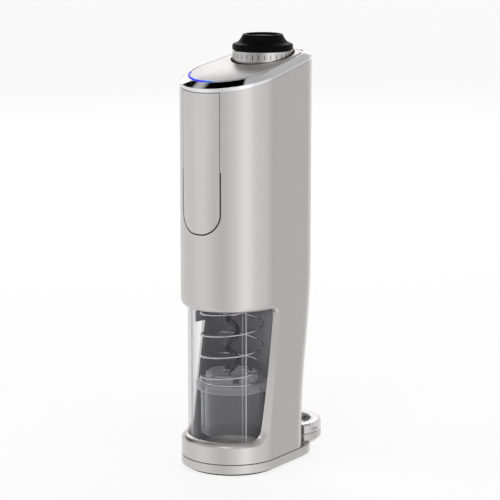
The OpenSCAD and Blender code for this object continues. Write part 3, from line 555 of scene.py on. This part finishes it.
def softbox(name, azimuth, distance, height, size, power, aim_z=120.0):
    """Rectangular light; azimuth is measured from the front towards +X, in degrees."""
    data = bpy.data.lights.new(name, "AREA")
    data.shape = "RECTANGLE"
    data.size, data.size_y = size[0] * MM, size[1] * MM
    data.energy = power
    obj = bpy.data.objects.new(name, data)
    a = math.radians(azimuth)
    place_at = Vector((math.sin(a) * distance, -math.cos(a) * distance, height))
    obj.location = place_at * MM
    obj.rotation_euler = (Vector((0, 0, aim_z)) - place_at).to_track_quat("-Z", "Y").to_euler()
    bpy.context.scene.collection.objects.link(obj)


# azimuth from the front towards +X in degrees, brightness of the room there
ROOM = (
    (-100, 0.86), (-62, 0.84), (-40, 0.94), (-18, 0.93), (0, 0.78), (19, 0.67), (37, 0.82), (54, 0.96),
    (65, 1.22), (80, 1.22), (92, 0.92), (126, 0.84), (150, 0.56), (172, 0.90), (215, 1.00), (245, 0.86))
ROOM_CAST = (1, 0.985, 0.99)
# black flags above the object: azimuths and heights (sines) where each starts and ends
FLAGS = (((-132, -122, -80, -72), (0.26, 0.34, 0.66, 0.72)),
         ((-152, -144, -73, -66), (0.79, 0.84, 0.995, 0.999)))
BACKDROP = 0.96
FLOOR_R = 20000
FLOOR_GLOW = 0.30
FLOOR_GLOW_EXTRA = 0.46


def make_world():
    """White to the camera; for light and reflections, panels round the object and two black flags."""
    world = bpy.data.worlds.new("studio")
    bpy.context.scene.world = world
    world.use_nodes = True
    tree = world.node_tree
    tree.nodes.clear()

    def ramp(source, stops, cast=(1, 1, 1)):
        made = tree.nodes.new("ShaderNodeValToRGB")
        band = made.color_ramp.elements
        stops = sorted(stops)
        band[0].position, band[-1].position = stops[0][0], stops[-1][0]
        middle = [band.new(place_at) for place_at, level in stops[1:-1]]
        for element, (place_at, level) in zip([band[0], *middle, band[-1]], stops):
            element.color = (*(level * share for share in cast), 1)
        tree.links.new(source, made.inputs["Fac"])
        return made.outputs["Color"]

    def blend(kind, first, second):
        made = tree.nodes.new("ShaderNodeMix")
        made.data_type = "RGBA"
        made.blend_type = kind
        made.inputs[0].default_value = 1.0
        tree.links.new(first, made.inputs[6])
        tree.links.new(second, made.inputs[7])
        return made.outputs[2]

    def turn(azimuth):
        """Place of an azimuth on the radial gradient, which starts a quarter turn from the front."""
        return (azimuth / 360 + 0.25) % 1.0

    def only_between(source, edges):
        """White between the second and third edge, black outside the first and last."""
        return ramp(source, list(zip(edges, (0, 1, 1, 0))))

    coord = tree.nodes.new("ShaderNodeTexCoord")
    radial = tree.nodes.new("ShaderNodeTexGradient")
    radial.gradient_type = "RADIAL"
    parts = tree.nodes.new("ShaderNodeSeparateXYZ")
    tree.links.new(coord.outputs["Generated"], radial.inputs["Vector"])
    tree.links.new(coord.outputs["Generated"], parts.inputs["Vector"])
    panels = ramp(radial.outputs["Fac"], [(turn(azimuth), level) for azimuth, level in ROOM], ROOM_CAST)
    ceiling = ramp(parts.outputs["Z"], [(0.2, 1.0), (0.75, 0.55), (1.0, 0.5)])
    light = blend("MULTIPLY", panels, ceiling)
    for azimuths, heights in FLAGS:
        side = only_between(radial.outputs["Fac"], [turn(azimuth) for azimuth in azimuths])
        tall = only_between(parts.outputs["Z"], heights)
        flag = tree.nodes.new("ShaderNodeInvert")
        tree.links.new(blend("MULTIPLY", side, tall), flag.inputs["Color"])
        light = blend("MULTIPLY", light, flag.outputs["Color"])

    out = tree.nodes.new("ShaderNodeOutputWorld")
    mix = tree.nodes.new("ShaderNodeMixShader")
    path = tree.nodes.new("ShaderNodeLightPath")
    room = tree.nodes.new("ShaderNodeBackground")
    backdrop = tree.nodes.new("ShaderNodeBackground")
    backdrop.inputs["Color"].default_value = (1, 1, 1, 1)
    backdrop.inputs["Strength"].default_value = BACKDROP
    tree.links.new(light, room.inputs["Color"])
    tree.links.new(path.outputs["Is Camera Ray"], mix.inputs[0])
    tree.links.new(room.outputs["Background"], mix.inputs[1])
    tree.links.new(backdrop.outputs["Background"], mix.inputs[2])
    tree.links.new(mix.outputs["Shader"], out.inputs["Surface"])


def make_floor():
    """White sweep; the camera sees it brighter, by the extra glow, than it shines on the object."""
    floor = lathe("floor", [(0, 0), (FLOOR_R, 0), (FLOOR_R, -10), (0, -10)], segments=96)
    s = Shader("floor_white", (0.34, 0.34, 0.34), 0.0, 0.9, specular_ior_level=0.1)
    s.tint(s.noise(3, 2), 0.01)
    s.bsdf.inputs["Emission Color"].default_value = (1, 1, 1, 1)
    path = s.node("ShaderNodeLightPath")
    glow = s.node("ShaderNodeMath", operation="MULTIPLY_ADD")
    glow.inputs[1].default_value = FLOOR_GLOW_EXTRA
    glow.inputs[2].default_value = FLOOR_GLOW
    s.link(path.outputs["Is Camera Ray"], glow.inputs[0])
    s.link(glow.outputs["Value"], s.bsdf.inputs["Emission Strength"])
    floor.data.materials.append(s.material)
    floor.visible_glossy = False


make_camera()
make_world()
make_floor()
softbox("top_back", 226, 1500, 950, (1300, 700), 4.4, 235)
softbox("top_front", 20, 1100, 1500, (700, 500), 2.0)
bpy.context.scene.view_settings.view_transform = "Standard"


# ------------------------------------------------------------------ body shell

LINER_FRONT = 9.6
SPINE_ROOM_FRONT = 15.5
PADDLE_CORNER = 12.0
WIDE_GROOVE = 0.85
FINE_GROOVE = 0.35
GROOVE_BACK = -23.6
# the window's edge on the skin, and the one against the clear shell
WINDOW_OUTER = {"top": WINDOW_TOP + 2.6, "bottom": RING_TOP, "back_top": 9.8, "back_bottom": -2.0,
                "top_radius": 9.5, "bottom_radius": 11.0, "wall": NOSE_R}
WINDOW_INNER = {"top": WINDOW_TOP - 1.5, "bottom": RING_TOP + 2.7, "back_top": 7.9, "back_bottom": -5.2,
                "top_radius": 5.5, "bottom_radius": 8.0, "wall": SOCKET_R}
# how round the frame's face is between the two edges: 0 is flat, 1 is a quarter of an ellipse
TOP_ROLL = 1.0
SIDE_ROLL = 0.6


def window_edge(inner):
    """Points of (x, y, z, roll) along the +X half of an edge, from the front centre of its top to
    the front centre of its bottom."""
    edge = WINDOW_INNER if inner else WINDOW_OUTER
    high, low, wall = edge["top"], edge["bottom"], edge["wall"]
    top_steps, corner_steps, side_steps, bottom_steps = 40, 10, 24, 32
    seen_from_side = [(-wall, high), (edge["back_top"], high), (edge["back_bottom"], low), (-wall, low)]
    corners_of_edge = fillet(seen_from_side, [0, edge["top_radius"], edge["bottom_radius"], 0], corner_steps)
    upper, lower = corners_of_edge[1:corner_steps + 2], corners_of_edge[corner_steps + 2:-1]

    def width(y):
        return math.sqrt(max(0.0, wall ** 2 - y ** 2)) if inner else half_width(y)

    points = []
    middle, end = -math.pi / 2, math.asin(upper[0][0] / wall)
    for k in range(top_steps):
        y = wall * math.sin(middle + (end - middle) * k / top_steps)
        points.append((width(y), y, high, TOP_ROLL))
    for k, (y, z) in enumerate(upper):
        points.append((width(y), y, z, TOP_ROLL + (SIDE_ROLL - TOP_ROLL) * k / corner_steps))
    (y0, z0), (y1, z1) = upper[-1], lower[0]
    for k in range(1, side_steps):
        y = y0 + (y1 - y0) * k / side_steps
        points.append((width(y), y, z0 + (z1 - z0) * k / side_steps, SIDE_ROLL))
    for y, z in lower:
        points.append((width(y), y, z, SIDE_ROLL))
    end = math.asin(lower[-1][0] / wall)
    for k in range(1, bottom_steps + 1):
        y = wall * math.sin(end + (middle - end) * k / bottom_steps)
        points.append((width(y), y, low, SIDE_ROLL))
    return points


def window_cutter():
    """Solid that opens the window; its side is the rounded face of the window's frame."""
    outer, inner = window_edge(False), window_edge(True)
    steps = 7
    outside = [(x * 1.5 + 1, y * 1.5 if y < 0 else y, z) for x, y, z, roll in outer]
    rings = [outside]
    for j in range(steps + 1):
        t = j / steps
        inwards, along = 1 - math.cos(t * math.pi / 2), math.sin(t * math.pi / 2)
        ring = []
        for (xo, yo, zo, roll), (xi, yi, zi, _) in zip(outer, inner):
            flat = Vector((xo + (xi - xo) * t, yo + (yi - yo) * t, zo + (zi - zo) * t))
            curved = Vector((xo + (xi - xo) * inwards, yo + (yi - yo) * inwards, zo + (zi - zo) * along))
            ring.append(tuple(flat.lerp(curved, roll)))
        rings.append(ring)
    for share in (0.93, 0.45):
        rings.append([(x * share, y * share, z) for x, y, z, roll in inner])
    full = [ring + [(-x, y, z) for x, y, z in reversed(ring[1:-1])] for ring in rings]
    sides = loft("window_sides", full, closed=False, caps=False)
    verts = [tuple(v.co / MM) for v in sides.data.vertices]
    faces = [tuple(p.vertices) for p in sides.data.polygons]
    bpy.data.objects.remove(sides)

    # each end is closed by a fan of triangles to a point at the window's middle height
    n = len(full[0])
    last = (len(full) - 1) * n
    middle = (WINDOW_TOP + RING_TOP) / 2
    front_point, axis_point = len(verts), len(verts) + 1
    verts += [(0, -NOSE_R * 2.4, middle), (0, 0, middle)]
    faces += [(front_point, (j + 1) % n, j) for j in range(n)]
    faces += [(axis_point, last + j, last + (j + 1) % n) for j in range(n)]
    cutter = new_object("window_cutter", verts, faces)
    outwards(cutter)
    return cutter


def body_block(name, inset, low, high, sloped, chamfer=0.0):
    """Solid body outline from one height to another, with rings close enough for the stepped back."""
    spacing = 4
    heights = [low] + [low + chamfer] * (chamfer > 0)
    z = math.ceil((low + 1) / spacing) * spacing
    while z < min(high, STEP_TOP):
        heights.append(z)
        z += spacing
    heights += [h for h in (STEP_TOP, 150, 180, FRONT_TOP - spacing) if heights[-1] < h < high]
    rings = []
    for k, h in enumerate(heights):
        extra = 0.0 if k else chamfer
        rings.append([(x, y, h) for x, y in outline(inset + extra, back_at(h))])
    rings.append([(x, y, slope_z(y) if sloped else high) for x, y in outline(inset, back_at(high))])
    obj = loft(name, rings, closed=False)
    outwards(obj)
    return obj


def cut_slope(obj, above):
    """Takes away everything higher than the sloping top plus a height."""
    tool = block("slope_tool", (-80, -80, FRONT_TOP), (80, 80, FRONT_TOP + 80))
    for vert in tool.data.vertices:
        if vert.co.z < (FRONT_TOP + 1) * MM:
            vert.co.z = slope_z(vert.co.y / MM, above) * MM
    combine(obj, tool)


def paddle_prism(name, grow, bottom, top, front, back):
    """Prism of the paddle's outline seen from the front, run from front to back."""
    half, corner = PADDLE_HALF + grow, PADDLE_CORNER + grow
    lower = fillet([(-half, top), (-half, bottom), (half, bottom), (half, top)], [0, corner, corner, 0], 14)
    rings = [[(x, y, z) for x, z in lower] for y in (front, back)]
    obj = loft(name, rings, closed=False)
    outwards(obj)
    return obj


def make_body():
    """Skin with its socket, liner seat, window, two rooms, and the two grooves of the paddle."""
    body = body_block("body_skin", 0.0, BASE_H, slope_z(BACK), True, 0.45)
    ceiling = DECK_BOTTOM + 0.3
    combine(body, lathe("socket", [(0, BASE_H - 1), (SOCKET_R, BASE_H - 1), (SOCKET_R, ceiling),
                                   (0, ceiling)], segments=160))
    liner_r = corners("spine_liner")[1].x + 0.1
    seat_inner, seat_low, seat_high = SOCKET_R - 1, BASE_H + WALL, WINDOW_TOP - 1
    seat = lathe("seat", [(seat_inner, seat_low), (liner_r, seat_low), (liner_r, seat_high),
                          (seat_inner, seat_high)], segments=160)
    combine(seat, block("seat_front", (-50, -60, -5), (50, LINER_FRONT, 130)))
    combine(body, seat)
    combine(body, window_cutter())
    spine_room = body_block("spine_room", WALL + 0.06, BASE_H + WALL, DECK_BOTTOM - 1.5, False)
    combine(spine_room, block("front_part", (-50, -60, -5), (50, SPINE_ROOM_FRONT, 130)))
    combine(body, spine_room)
    combine(body, body_block("upper_room", WALL, DECK_BOTTOM, slope_z(BACK) + 20, False))

    wide_top = centre("paddle_pin").z - 4
    wide = paddle_prism("wide_groove", WIDE_GROOVE, PADDLE_LOW.z - 0.8, wide_top, -40, GROOVE_BACK)
    fine = paddle_prism("fine_groove", FINE_GROOVE, PADDLE_LOW.z - FINE_GROOVE, slope_z(0) + 30, -40.2,
                        GROOVE_BACK + 0.1)
    combine(fine, wide, "UNION")
    cut_slope(fine, -0.02)
    combine(body, fine)
    bevel(body, 0.22, 2, 40)
    place(body, "opener", "satin_silver", "satin_silver", "body_shell")


make_body()

# ------------------------------------------------------------------ paddle, bezel, strip and top

PIVOT_R = 1.6
STRIP_LOW = 1.6


def make_paddle():
    bottom, above_top = PADDLE_LOW.z, FRONT_TOP + 12
    inside = NOSE_R - WALL
    paddle = lathe("paddle_skin", [(inside, bottom - 5), (NOSE_R, bottom - 5), (NOSE_R, above_top),
                                   (inside, above_top)], segments=224)
    combine(paddle, paddle_prism("paddle_form", 0.0, bottom, FRONT_TOP + 20, -40, -15.1), "INTERSECT")
    cut_slope(paddle, -FINE_GROOVE)
    pivot = centre("paddle_pin")
    for side in (-1, 1):
        x0, x1 = sorted((side * (PADDLE_HALF - 3.9), side * (PADDLE_HALF - 1.6)))
        ear = block("ear", (x0, -NOSE_R + 4.2, pivot.z - 3), (x1, pivot.y + 2.2, pivot.z + 3))
        combine(paddle, ear, "UNION")
    pin = lathe("pin_hole", [(0, -NOSE_R), (PIVOT_R, -NOSE_R), (PIVOT_R, NOSE_R), (0, NOSE_R)], segments=32)
    for vert in pin.data.vertices:
        x, y, z = vert.co
        vert.co = (z, y + pivot.y * MM, x + pivot.z * MM)
    outwards(pin)
    combine(paddle, pin)
    bevel(paddle, 0.28, 2, 40)
    place(paddle, "rocker", "paddle_silver", "satin_silver", "paddle")


def port_hole():
    """Hole for the stopper's port through everything on top."""
    return lathe("port_hole", [(0, FRONT_TOP - 20), (BOSS_R + 0.35, FRONT_TOP - 20),
                               (BOSS_R + 0.35, 300), (0, 300)], (0, STOPPER_Y), 160)


def sweep_round(name, profile, sharp=SHARP):
    """Runs a closed profile of (inset, height above the slope) round the body's outline."""
    rings = [[(x, y, slope_z(y, h)) for x, y in outline(inset)] for inset, h in profile]
    obj = loft(name, rings, sharp=sharp)
    outwards(obj)
    return obj


def make_bezel():
    """Bright ring: a shadow gap above the body, the lip, then the chamfer up to the light strip."""
    gap, lip, top = 0.45, BEZEL_H * 0.42, BEZEL_H - 0.6
    profile = fillet([(gap, 0.0), (gap, 0.4), (0.0, gap), (0.0, lip), (BEZEL_W - 0.3, top), (BEZEL_W, top),
                      (BEZEL_W, 0.0)], [0, 0, 0.1, 0.3, 0.2, 0.1, 0.1], 5)
    bezel = sweep_round("bezel_ring", profile)
    combine(bezel, port_hole())
    place(bezel, "opener", "bright_chrome", "bright_chrome", "bezel")


def make_strip():
    outer = NOSE_R - BEZEL_W - 0.1
    inner = outer - STRIP_W
    section = fillet([(outer, STRIP_LOW), (outer, BEZEL_H), (inner, BEZEL_H), (inner, STRIP_LOW)],
                     [0.1, 0.5, 0.2, 0.1], 4)
    rings = []
    steps = 72
    for k in range(steps + 1):
        a = -STRIP_HALF + 2 * STRIP_HALF * k / steps
        rings.append([(r * math.sin(a), -r * math.cos(a), slope_z(-r * math.cos(a), h)) for r, h in section])
    strip = loft("light_guide", rings, closed=False, sharp=40)
    outwards(strip)
    place(strip, "opener", "light_strip", "light_blue", "light_strip")


def make_top():
    """Brushed plate, with a lower rim that fills the space round it where there is no light strip."""
    inset, bottom, top = BEZEL_W + STRIP_W + 0.2, 1.5, BEZEL_H - 0.3
    edge = ((inset, bottom), (inset, top - 0.25), (inset + 0.08, top - 0.07), (inset + 0.25, top))
    plate = loft("top_cover", [[(x, y, slope_z(y, h)) for x, y in outline(i)] for i, h in edge], closed=False)
    outwards(plate)
    rim_outer, rim_inner, rim_top = BEZEL_W + 0.05, inset + 0.5, BEZEL_H - 1.0
    rim = sweep_round("rim", [(rim_outer, STRIP_LOW), (rim_outer, rim_top), (rim_inner, rim_top),
                              (rim_inner, STRIP_LOW)])
    reach, end = 2 * NOSE_R, STRIP_HALF + math.radians(1)
    sector = [(0, 0)]
    sector += [(reach * math.sin(end * k / 4), -reach * math.cos(end * k / 4)) for k in range(-4, 5)]
    wedge = loft("wedge", [[(x, y, z) for x, y in sector] for z in (FRONT_TOP - 10, FRONT_TOP + 60)],
                 closed=False)
    outwards(wedge)
    combine(rim, wedge)
    combine(plate, rim, "UNION")
    combine(plate, port_hole())
    place(plate, "opener", "brushed_plate", "brushed_plate", "top_plate")


make_paddle()
make_bezel()
make_strip()
make_top()

# ------------------------------------------------------------------ stopper and its dial

STOPPER_AT = (0.0, STOPPER_Y)
PORT_R = 10.2
DAYS = 31
MARK_DEPTH = 0.28
MARK_TOP = 4.9


def make_port():
    """Collar that the stopper stands in, with a seat for its gasket."""
    low, high = corners("port_boss")
    tube_r, seat_in, seat_out, seat_z = PORT_R + 2.4, PORT_R + 1.2, PORT_R + 3.4, high.z - 1.1
    neck_z, drain_r, floor_z = high.z - 9, 2.4, low.z + 3
    boss = lathe("port_collar", fillet([
        (drain_r, low.z), (tube_r, low.z), (tube_r, neck_z), (BOSS_R, neck_z), (BOSS_R, high.z),
        (seat_out, high.z), (seat_out, seat_z), (seat_in, seat_z), (seat_in, high.z),
        (PORT_R, high.z), (PORT_R, floor_z), (drain_r, floor_z)],
        [0, 0.3, 0, 0.2, 0.4, 0.1, 0, 0, 0.1, 0.2, 0, 0], 4), STOPPER_AT, 160)
    place(boss, "opener", "black_plastic", "black_plastic", "port_boss")


def mark_tool(r, low):
    """Wedges that cut the day marks into the ring; each fifth one is wider and longer."""
    verts, faces = [], []
    for k in range(DAYS):
        a = TAU * k / DAYS
        half, bottom = (0.011, 2.3) if k % 5 else (0.016, 1.9)
        start = len(verts)
        for z in (low + bottom, low + MARK_TOP):
            for rr in (r - MARK_DEPTH, r + 1):
                for da in (-half, half):
                    verts.append((rr * math.cos(a + da), STOPPER_Y + rr * math.sin(a + da), z))
        faces += [tuple(start + i for i in f) for f in
                  ((0, 2, 3, 1), (4, 5, 7, 6), (0, 1, 5, 4), (2, 6, 7, 3), (0, 4, 6, 2), (1, 3, 7, 5))]
    tool = new_object("mark_tool", verts, faces)
    outwards(tool)
    return tool


def make_dial():
    low, high = corners("date_ring")
    r = high.x
    inner, foot = r - 3.7 + 0.08, r - 0.25
    ring = lathe("day_ring", fillet([
        (inner, low.z), (foot, low.z), (foot, low.z + 0.7), (r, low.z + 0.95), (r, high.z - 0.5),
        (r - 0.5, high.z), (inner, high.z)], [0, 0.12, 0, 0, 0.15, 0.15, 0], 3), STOPPER_AT, 248)
    combine(ring, mark_tool(r, low.z))
    place(ring, "dial", "ring_steel", "ring_steel", "date_ring")
    ring.data.materials.append(MATERIALS["mark_ink"])
    for face in ring.data.polygons:
        middle = face.center / MM - Vector((0, STOPPER_Y, 0))
        sunk = inner + 1 < math.hypot(middle.x, middle.y) < r - 0.08
        if sunk and low.z + 1.8 < middle.z < low.z + MARK_TOP + 0.1:
            face.material_index = 1


def make_cap():
    """Rubber cap: a rounded flange, a hollow side and a flat crown with a finger recess."""
    low, high = corners("stopper_cap")
    r, tall = high.x, high.z - low.z
    flange, crown = 3.6, r - 6.3
    recess, recess_z, under_z, hole_r = crown - 1.7, tall - 4.1, tall - 5.1, 2.2
    inside = recess - 1.3
    start, end = Vector((r - 1.6, flange)), Vector((crown + 0.7, tall - 1.3))
    waist = Vector((crown + 2.2, flange + 0.9))
    steps = 12
    side = []
    for k in range(steps + 1):
        t = k / steps
        side.append(tuple((1 - t) ** 2 * start + 2 * t * (1 - t) * waist + t * t * end))
    profile = fillet([(hole_r, under_z), (inside, under_z), (inside, 0), (r, 0), (r, flange)] + side
                     + [(crown, tall), (recess, tall), (recess, recess_z), (hole_r, recess_z)],
                     [0, 0, 0.1, 0.6, 1.5] + [0] * len(side) + [0.7, 0.5, 0.4, 0], 7)
    cap = lathe("cap_rubber", [(x, low.z + z) for x, z in profile], STOPPER_AT, 160, 40)
    place(cap, "stopper", "soft_rubber", "soft_rubber", "stopper_cap")


def make_valve():
    low, high = corners("stopper_valve")
    r, stem, seat = high.x, 1.9, high.z - 1.8
    valve = lathe("valve_button", fillet([
        (0, low.z), (stem, low.z), (stem, seat), (r, seat), (r, high.z - 0.25), (r * 0.55, high.z - 0.12),
        (r * 0.25, high.z), (0, high.z)], [0, 0.3, 0, 0.2, 0.5, 1.0, 1.0, 0], 4), STOPPER_AT, 96, 40)
    place(valve, "valve", "soft_rubber", "soft_rubber", "stopper_valve")


make_port()
make_dial()
make_cap()
make_valve()

# ------------------------------------------------------------------ clear chamber, guide, spring and worm


RAIL_ANGLE = 58


def spoke(name, degrees, section, z_low, z_high):
    """Upright prism of (radius, offset) points, turned about the axis to an angle from +X."""
    a = math.radians(degrees)
    along, across = Vector((math.cos(a), math.sin(a), 0)), Vector((-math.sin(a), math.cos(a), 0))
    prism = loft(name, [[tuple(along * r + across * t + Vector((0, 0, z))) for r, t in section]
                        for z in (z_low, z_high)], closed=False)
    outwards(prism)
    return prism


def make_chamber():
    """Clear shell with two rails inside that keep the guide from turning."""
    low, high = corners("clear_shell")
    wall = [(SHELL_IR, low.z), (SHELL_OR, low.z), (SHELL_OR, high.z), (SHELL_IR, high.z)]
    shell = lathe("chamber", fillet(wall, [0.3, 0.5, 0.3, 0.3], 4), segments=160, sharp=50)
    half = [(-0.45, 0.45), (-0.8, 0.85), (-0.7, 1.2), (0.3, 1.35)]
    section = [(SHELL_IR + r, -t) for r, t in half] + [(SHELL_IR + r, t) for r, t in reversed(half)]
    for side in (-1, 1):
        rail = spoke("rail", -90 + side * RAIL_ANGLE, section, BASE_H + 4, WINDOW_TOP - 2)
        combine(shell, rail, "UNION")
    place(shell, "opener", "clear_shell", "clear_plastic", "clear_shell")

    # the rails' flanks take a whiter, less clear plastic, a painted highlight for white vertical glints;
    # their crests, within 2.2 degrees of their middle, stay clear
    shell.data.materials.append(MATERIALS["clear_painted_highlight"])
    for face in shell.data.polygons:
        middle = face.center / MM
        if math.hypot(middle.x, middle.y) < SHELL_IR - 0.1 and abs(face.normal.z) < 0.5:
            turned = abs(math.degrees(math.atan2(middle.x, -middle.y)))
            if abs(turned - RAIL_ANGLE) > 2.2:
                face.material_index = 1


def make_guide():
    """Sleeve for the bottle's lip, with a flange under the spring and a slotted collar inside it."""
    low, high = corners("neck_guide")
    top, collar = corners("neck_spring")[0].z - 0.05, high.z
    bore, stop, wall, flange = 16.0, 12.5, 18.5, 21.4
    collar_out, collar_in, flange_z, stop_z = wall - 3.2, wall - 5.2, top - 4, top - 2
    guide = lathe("guide_sleeve", fillet([
        (bore, low.z), (wall, low.z), (wall, flange_z), (flange, flange_z), (flange, top), (collar_out, top),
        (collar_out, collar), (collar_in, collar), (collar_in, top), (stop, top), (stop, stop_z),
        (bore, stop_z)],
        [1.0, 0.8, 0.4, 0.5, 0.5, 0.2, 0.3, 0.3, 0.2, 0.3, 0.3, 0.5], 4), segments=128, sharp=45)
    slot = [(stop, -2.2), (wall, -2.2), (wall, 2.2), (stop, 2.2)]
    for k in range(6):
        combine(guide, spoke("slot", 60 * k + 20, slot, top + 1.2, collar + 5))
    lug_in, lug_out = flange - 1, SHELL_IR - 0.4
    lug = [(lug_in, -2.5), (lug_out, -2.3), (lug_out, 2.3), (lug_in, 2.5)]
    for degrees in (15, 90, 165):
        combine(guide, spoke("lug", degrees, lug, flange_z, top), "UNION")
    place(guide, "guide", "clear_guide", "clear_plastic", "neck_guide")
    # faces from the flange up take a whiter, less clear plastic: a painted highlight for the bright flange
    # and collar
    guide.data.materials.append(MATERIALS["clear_rim_painted_highlight"])
    for face in guide.data.polygons:
        if face.center.z > (flange_z - 0.1) * MM:
            face.material_index = 1


def make_spring():
    """Compression spring with a closed turn at each end, drawn as a fixed helix; in the opener the guide
    squashes it when it rides up.
    """
    low, high = corners("neck_spring")
    wire, pitch = 0.55, 12.8
    closed_turn = 2 * wire + 0.15
    radius, bottom, top = high.x - wire, low.z + wire, high.z - wire
    turns = 2 + (top - bottom - 2 * closed_turn) / pitch
    points = []
    steps = int(turns * 44)
    for k in range(steps + 1):
        u = turns * k / steps
        if u < 1:
            z = bottom + closed_turn * u
        elif u > turns - 1:
            z = top - closed_turn * (turns - u)
        else:
            z = bottom + closed_turn + pitch * (u - 1)
        a = TAU * (u - turns)
        points.append((radius * math.cos(a), radius * math.sin(a), z))
    spring = tube_path("return_spring", points, [wire] * len(points), 10)
    place(spring, "opener", "wire", "steel", "neck_spring")
    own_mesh(spring)


def make_worm():
    """Coated helix that tapers to its point over the first half turn."""
    low, high = corners("worm")
    pitch, wire, radius = 18.0, 1.6, 3.2
    tip, top = low.z + 0.1, high.z - wire
    turns = (top - tip) / pitch
    shown_at, shown_z = math.radians(220), WINDOW_TOP - 9.1
    start = shown_at - TAU * (shown_z - tip) / pitch
    points, radii = [], []
    steps = int(turns * 60)
    for k in range(steps + 1):
        u = turns * k / steps
        a = start + TAU * u
        r = radius * min(1.0, 0.35 + 0.65 * min(1.0, u / 0.5))
        points.append((r * math.cos(a), r * math.sin(a), tip + pitch * u))
        radii.append(wire * (0.10 + 0.90 * min(1.0, u / 0.55) ** 0.8))
    worm = tube_path("corkscrew", points, radii, 16)
    place(worm, "spindle", "worm_coating", "worm_coating", "worm")


make_chamber()
make_guide()
make_spring()
make_worm()

# ------------------------------------------------------------------ base and foil cutter


def cylinder(name, at, r, low, high, segments=64):
    return lathe(name, [(0, low), (r, low), (r, high), (0, high)], at, segments)


def lying_cylinder(name, at, r, y_low, y_high):
    obj = lathe(name, [(0, y_low), (r, y_low), (r, y_high), (0, y_high)], segments=48)
    for vert in obj.data.vertices:
        x, y, z = vert.co
        vert.co = (x + at[0] * MM, z, y + at[1] * MM)
    outwards(obj)
    return obj


DOCK_BOTTOM = BASE_H - 2
DOCK_TOP = DOCK_LOW.z - 0.1
DOCK_AT = (0, DOCK_Y)
DOCK_BACK = DOCK_Y + DOCK_R
POST_R = 12.5
WHEEL_ORBIT = 17.6
THUMB_R = 9.0


def make_dock():
    """Rear dock: a round pad and the post that the foil cutter is put over."""
    post_top = DOCK_TOP + 2.4
    dock = lathe("dock", fillet([(0, DOCK_BOTTOM), (DOCK_R - 2.5, DOCK_BOTTOM), (DOCK_R, DOCK_BOTTOM + 2.5),
                                 (DOCK_R, DOCK_TOP), (POST_R, DOCK_TOP), (POST_R, post_top), (0, post_top)],
                                [0, 0.6, 1.2, 0.5, 0.2, 0.5, 0], 5), DOCK_AT, 160)
    combine(dock, block("dock_front", (-60, -60, BASE_H), (60, DOCK_FRONT, 60)))
    return dock


def make_base():
    """Base skin with its dock, the collar that centres the opener, its rooms and the jack's pocket."""
    pad = corners("base_pad")[1].z
    edge = fillet([(1.1, pad), (0.0, pad + 1.1), (0.0, BASE_H - 0.3), (0.3, BASE_H)],
                  [0.4, 0.8, 0.15, 0.1], 4)
    base = loft("base_block", [[(x, y, z) for x, y in outline(i)] for i, z in edge], closed=False)
    outwards(base)
    combine(base, make_dock(), "UNION")
    inner, outer, top = 17.2, 19.4, BASE_H + 5
    combine(base, lathe("collar", [(inner, BASE_H - 0.5), (outer, BASE_H - 0.5), (outer, top - 0.3),
                                   (outer - 0.3, top), (inner, top)], segments=128), "UNION")
    cover_room = loft("cover_room", [[(x, y, z) for x, y in outline(WALL)] for z in (pad - 1, pad + 1.6)],
                      closed=False)
    outwards(cover_room)
    combine(base, cover_room)
    room = loft("room", [[(x, y, z) for x, y in outline(WALL + 1.4)] for z in (pad + 1, BASE_H - 2)],
                closed=False)
    outwards(room)
    for at in ((-14, -14), (14, -14), (-15, 34), (15, 34)):
        combine(room, cylinder("post", at, 3, pad - 2, BASE_H + 2, 32))
    combine(base, room)
    jack_low, jack_high = corners("power_jack")
    jack_z, pocket_front = centre("power_jack").z, DOCK_BACK - (jack_high.y - jack_low.y) - 3
    combine(base, lying_cylinder("jack_pocket", (0, jack_z), jack_high.x + 0.02, pocket_front, DOCK_BACK + 1))
    bevel(base, 0.2, 2, 50)
    place(base, "base", "base_silver", "satin_silver", "base_shell")


def make_cutter():
    """C-shaped foil cutter with a thumb scallop on each side and slots for its four wheels."""
    low, high = corners("cutter_body")
    bore, tall = 15.5, high.z - low.z
    body = lathe("cutter_ring", fillet([(bore, low.z), (DOCK_R, low.z), (DOCK_R, high.z), (bore, high.z)],
                                       [0.3, 0.5, 2.4, 1.0], 7), DOCK_AT, 192)
    combine(body, block("cutter_front", (-60, -60, 0), (60, DOCK_FRONT, 60)))
    floor_z, above = low.z + tall * 0.3, high.z + 5
    for side in (-1, 1):
        at = (side * (DOCK_R + THUMB_R - 1.6), DOCK_Y + 2)
        combine(body, lathe("scoop", fillet([(0, floor_z), (THUMB_R, floor_z), (THUMB_R, above), (0, above)],
                                            [0, 1.2, 0, 0], 6), at, 96))
    pin = (tall - 1.6) / 2
    for k, degrees in enumerate((28, 70, 110, 152)):
        a = math.radians(degrees)
        at = (WHEEL_ORBIT * math.cos(a), DOCK_Y + WHEEL_ORBIT * math.sin(a))
        z = centre("cutter_wheel_%d" % (k + 1)).z
        combine(body, cylinder("wheel_slot", at, 3.6, z - 0.7, z + 0.7, 48))
        combine(body, cylinder("pin_hole", at, 1.02, z - pin, z + pin, 24))
    bevel(body, 0.3, 2, 50)
    place(body, "foil_cutter", "frame_silver", "satin_silver", "cutter_body")


make_base()
make_cutter()

# ------------------------------------------------------------------ materials on the CAD nodes

for node_name, obj in frame["nodes"].items():
    if not obj.hide_render:
        look = NODE_LOOKS[node_name]
        dress(obj, LOOK_OF_SLOT.get(look, look))
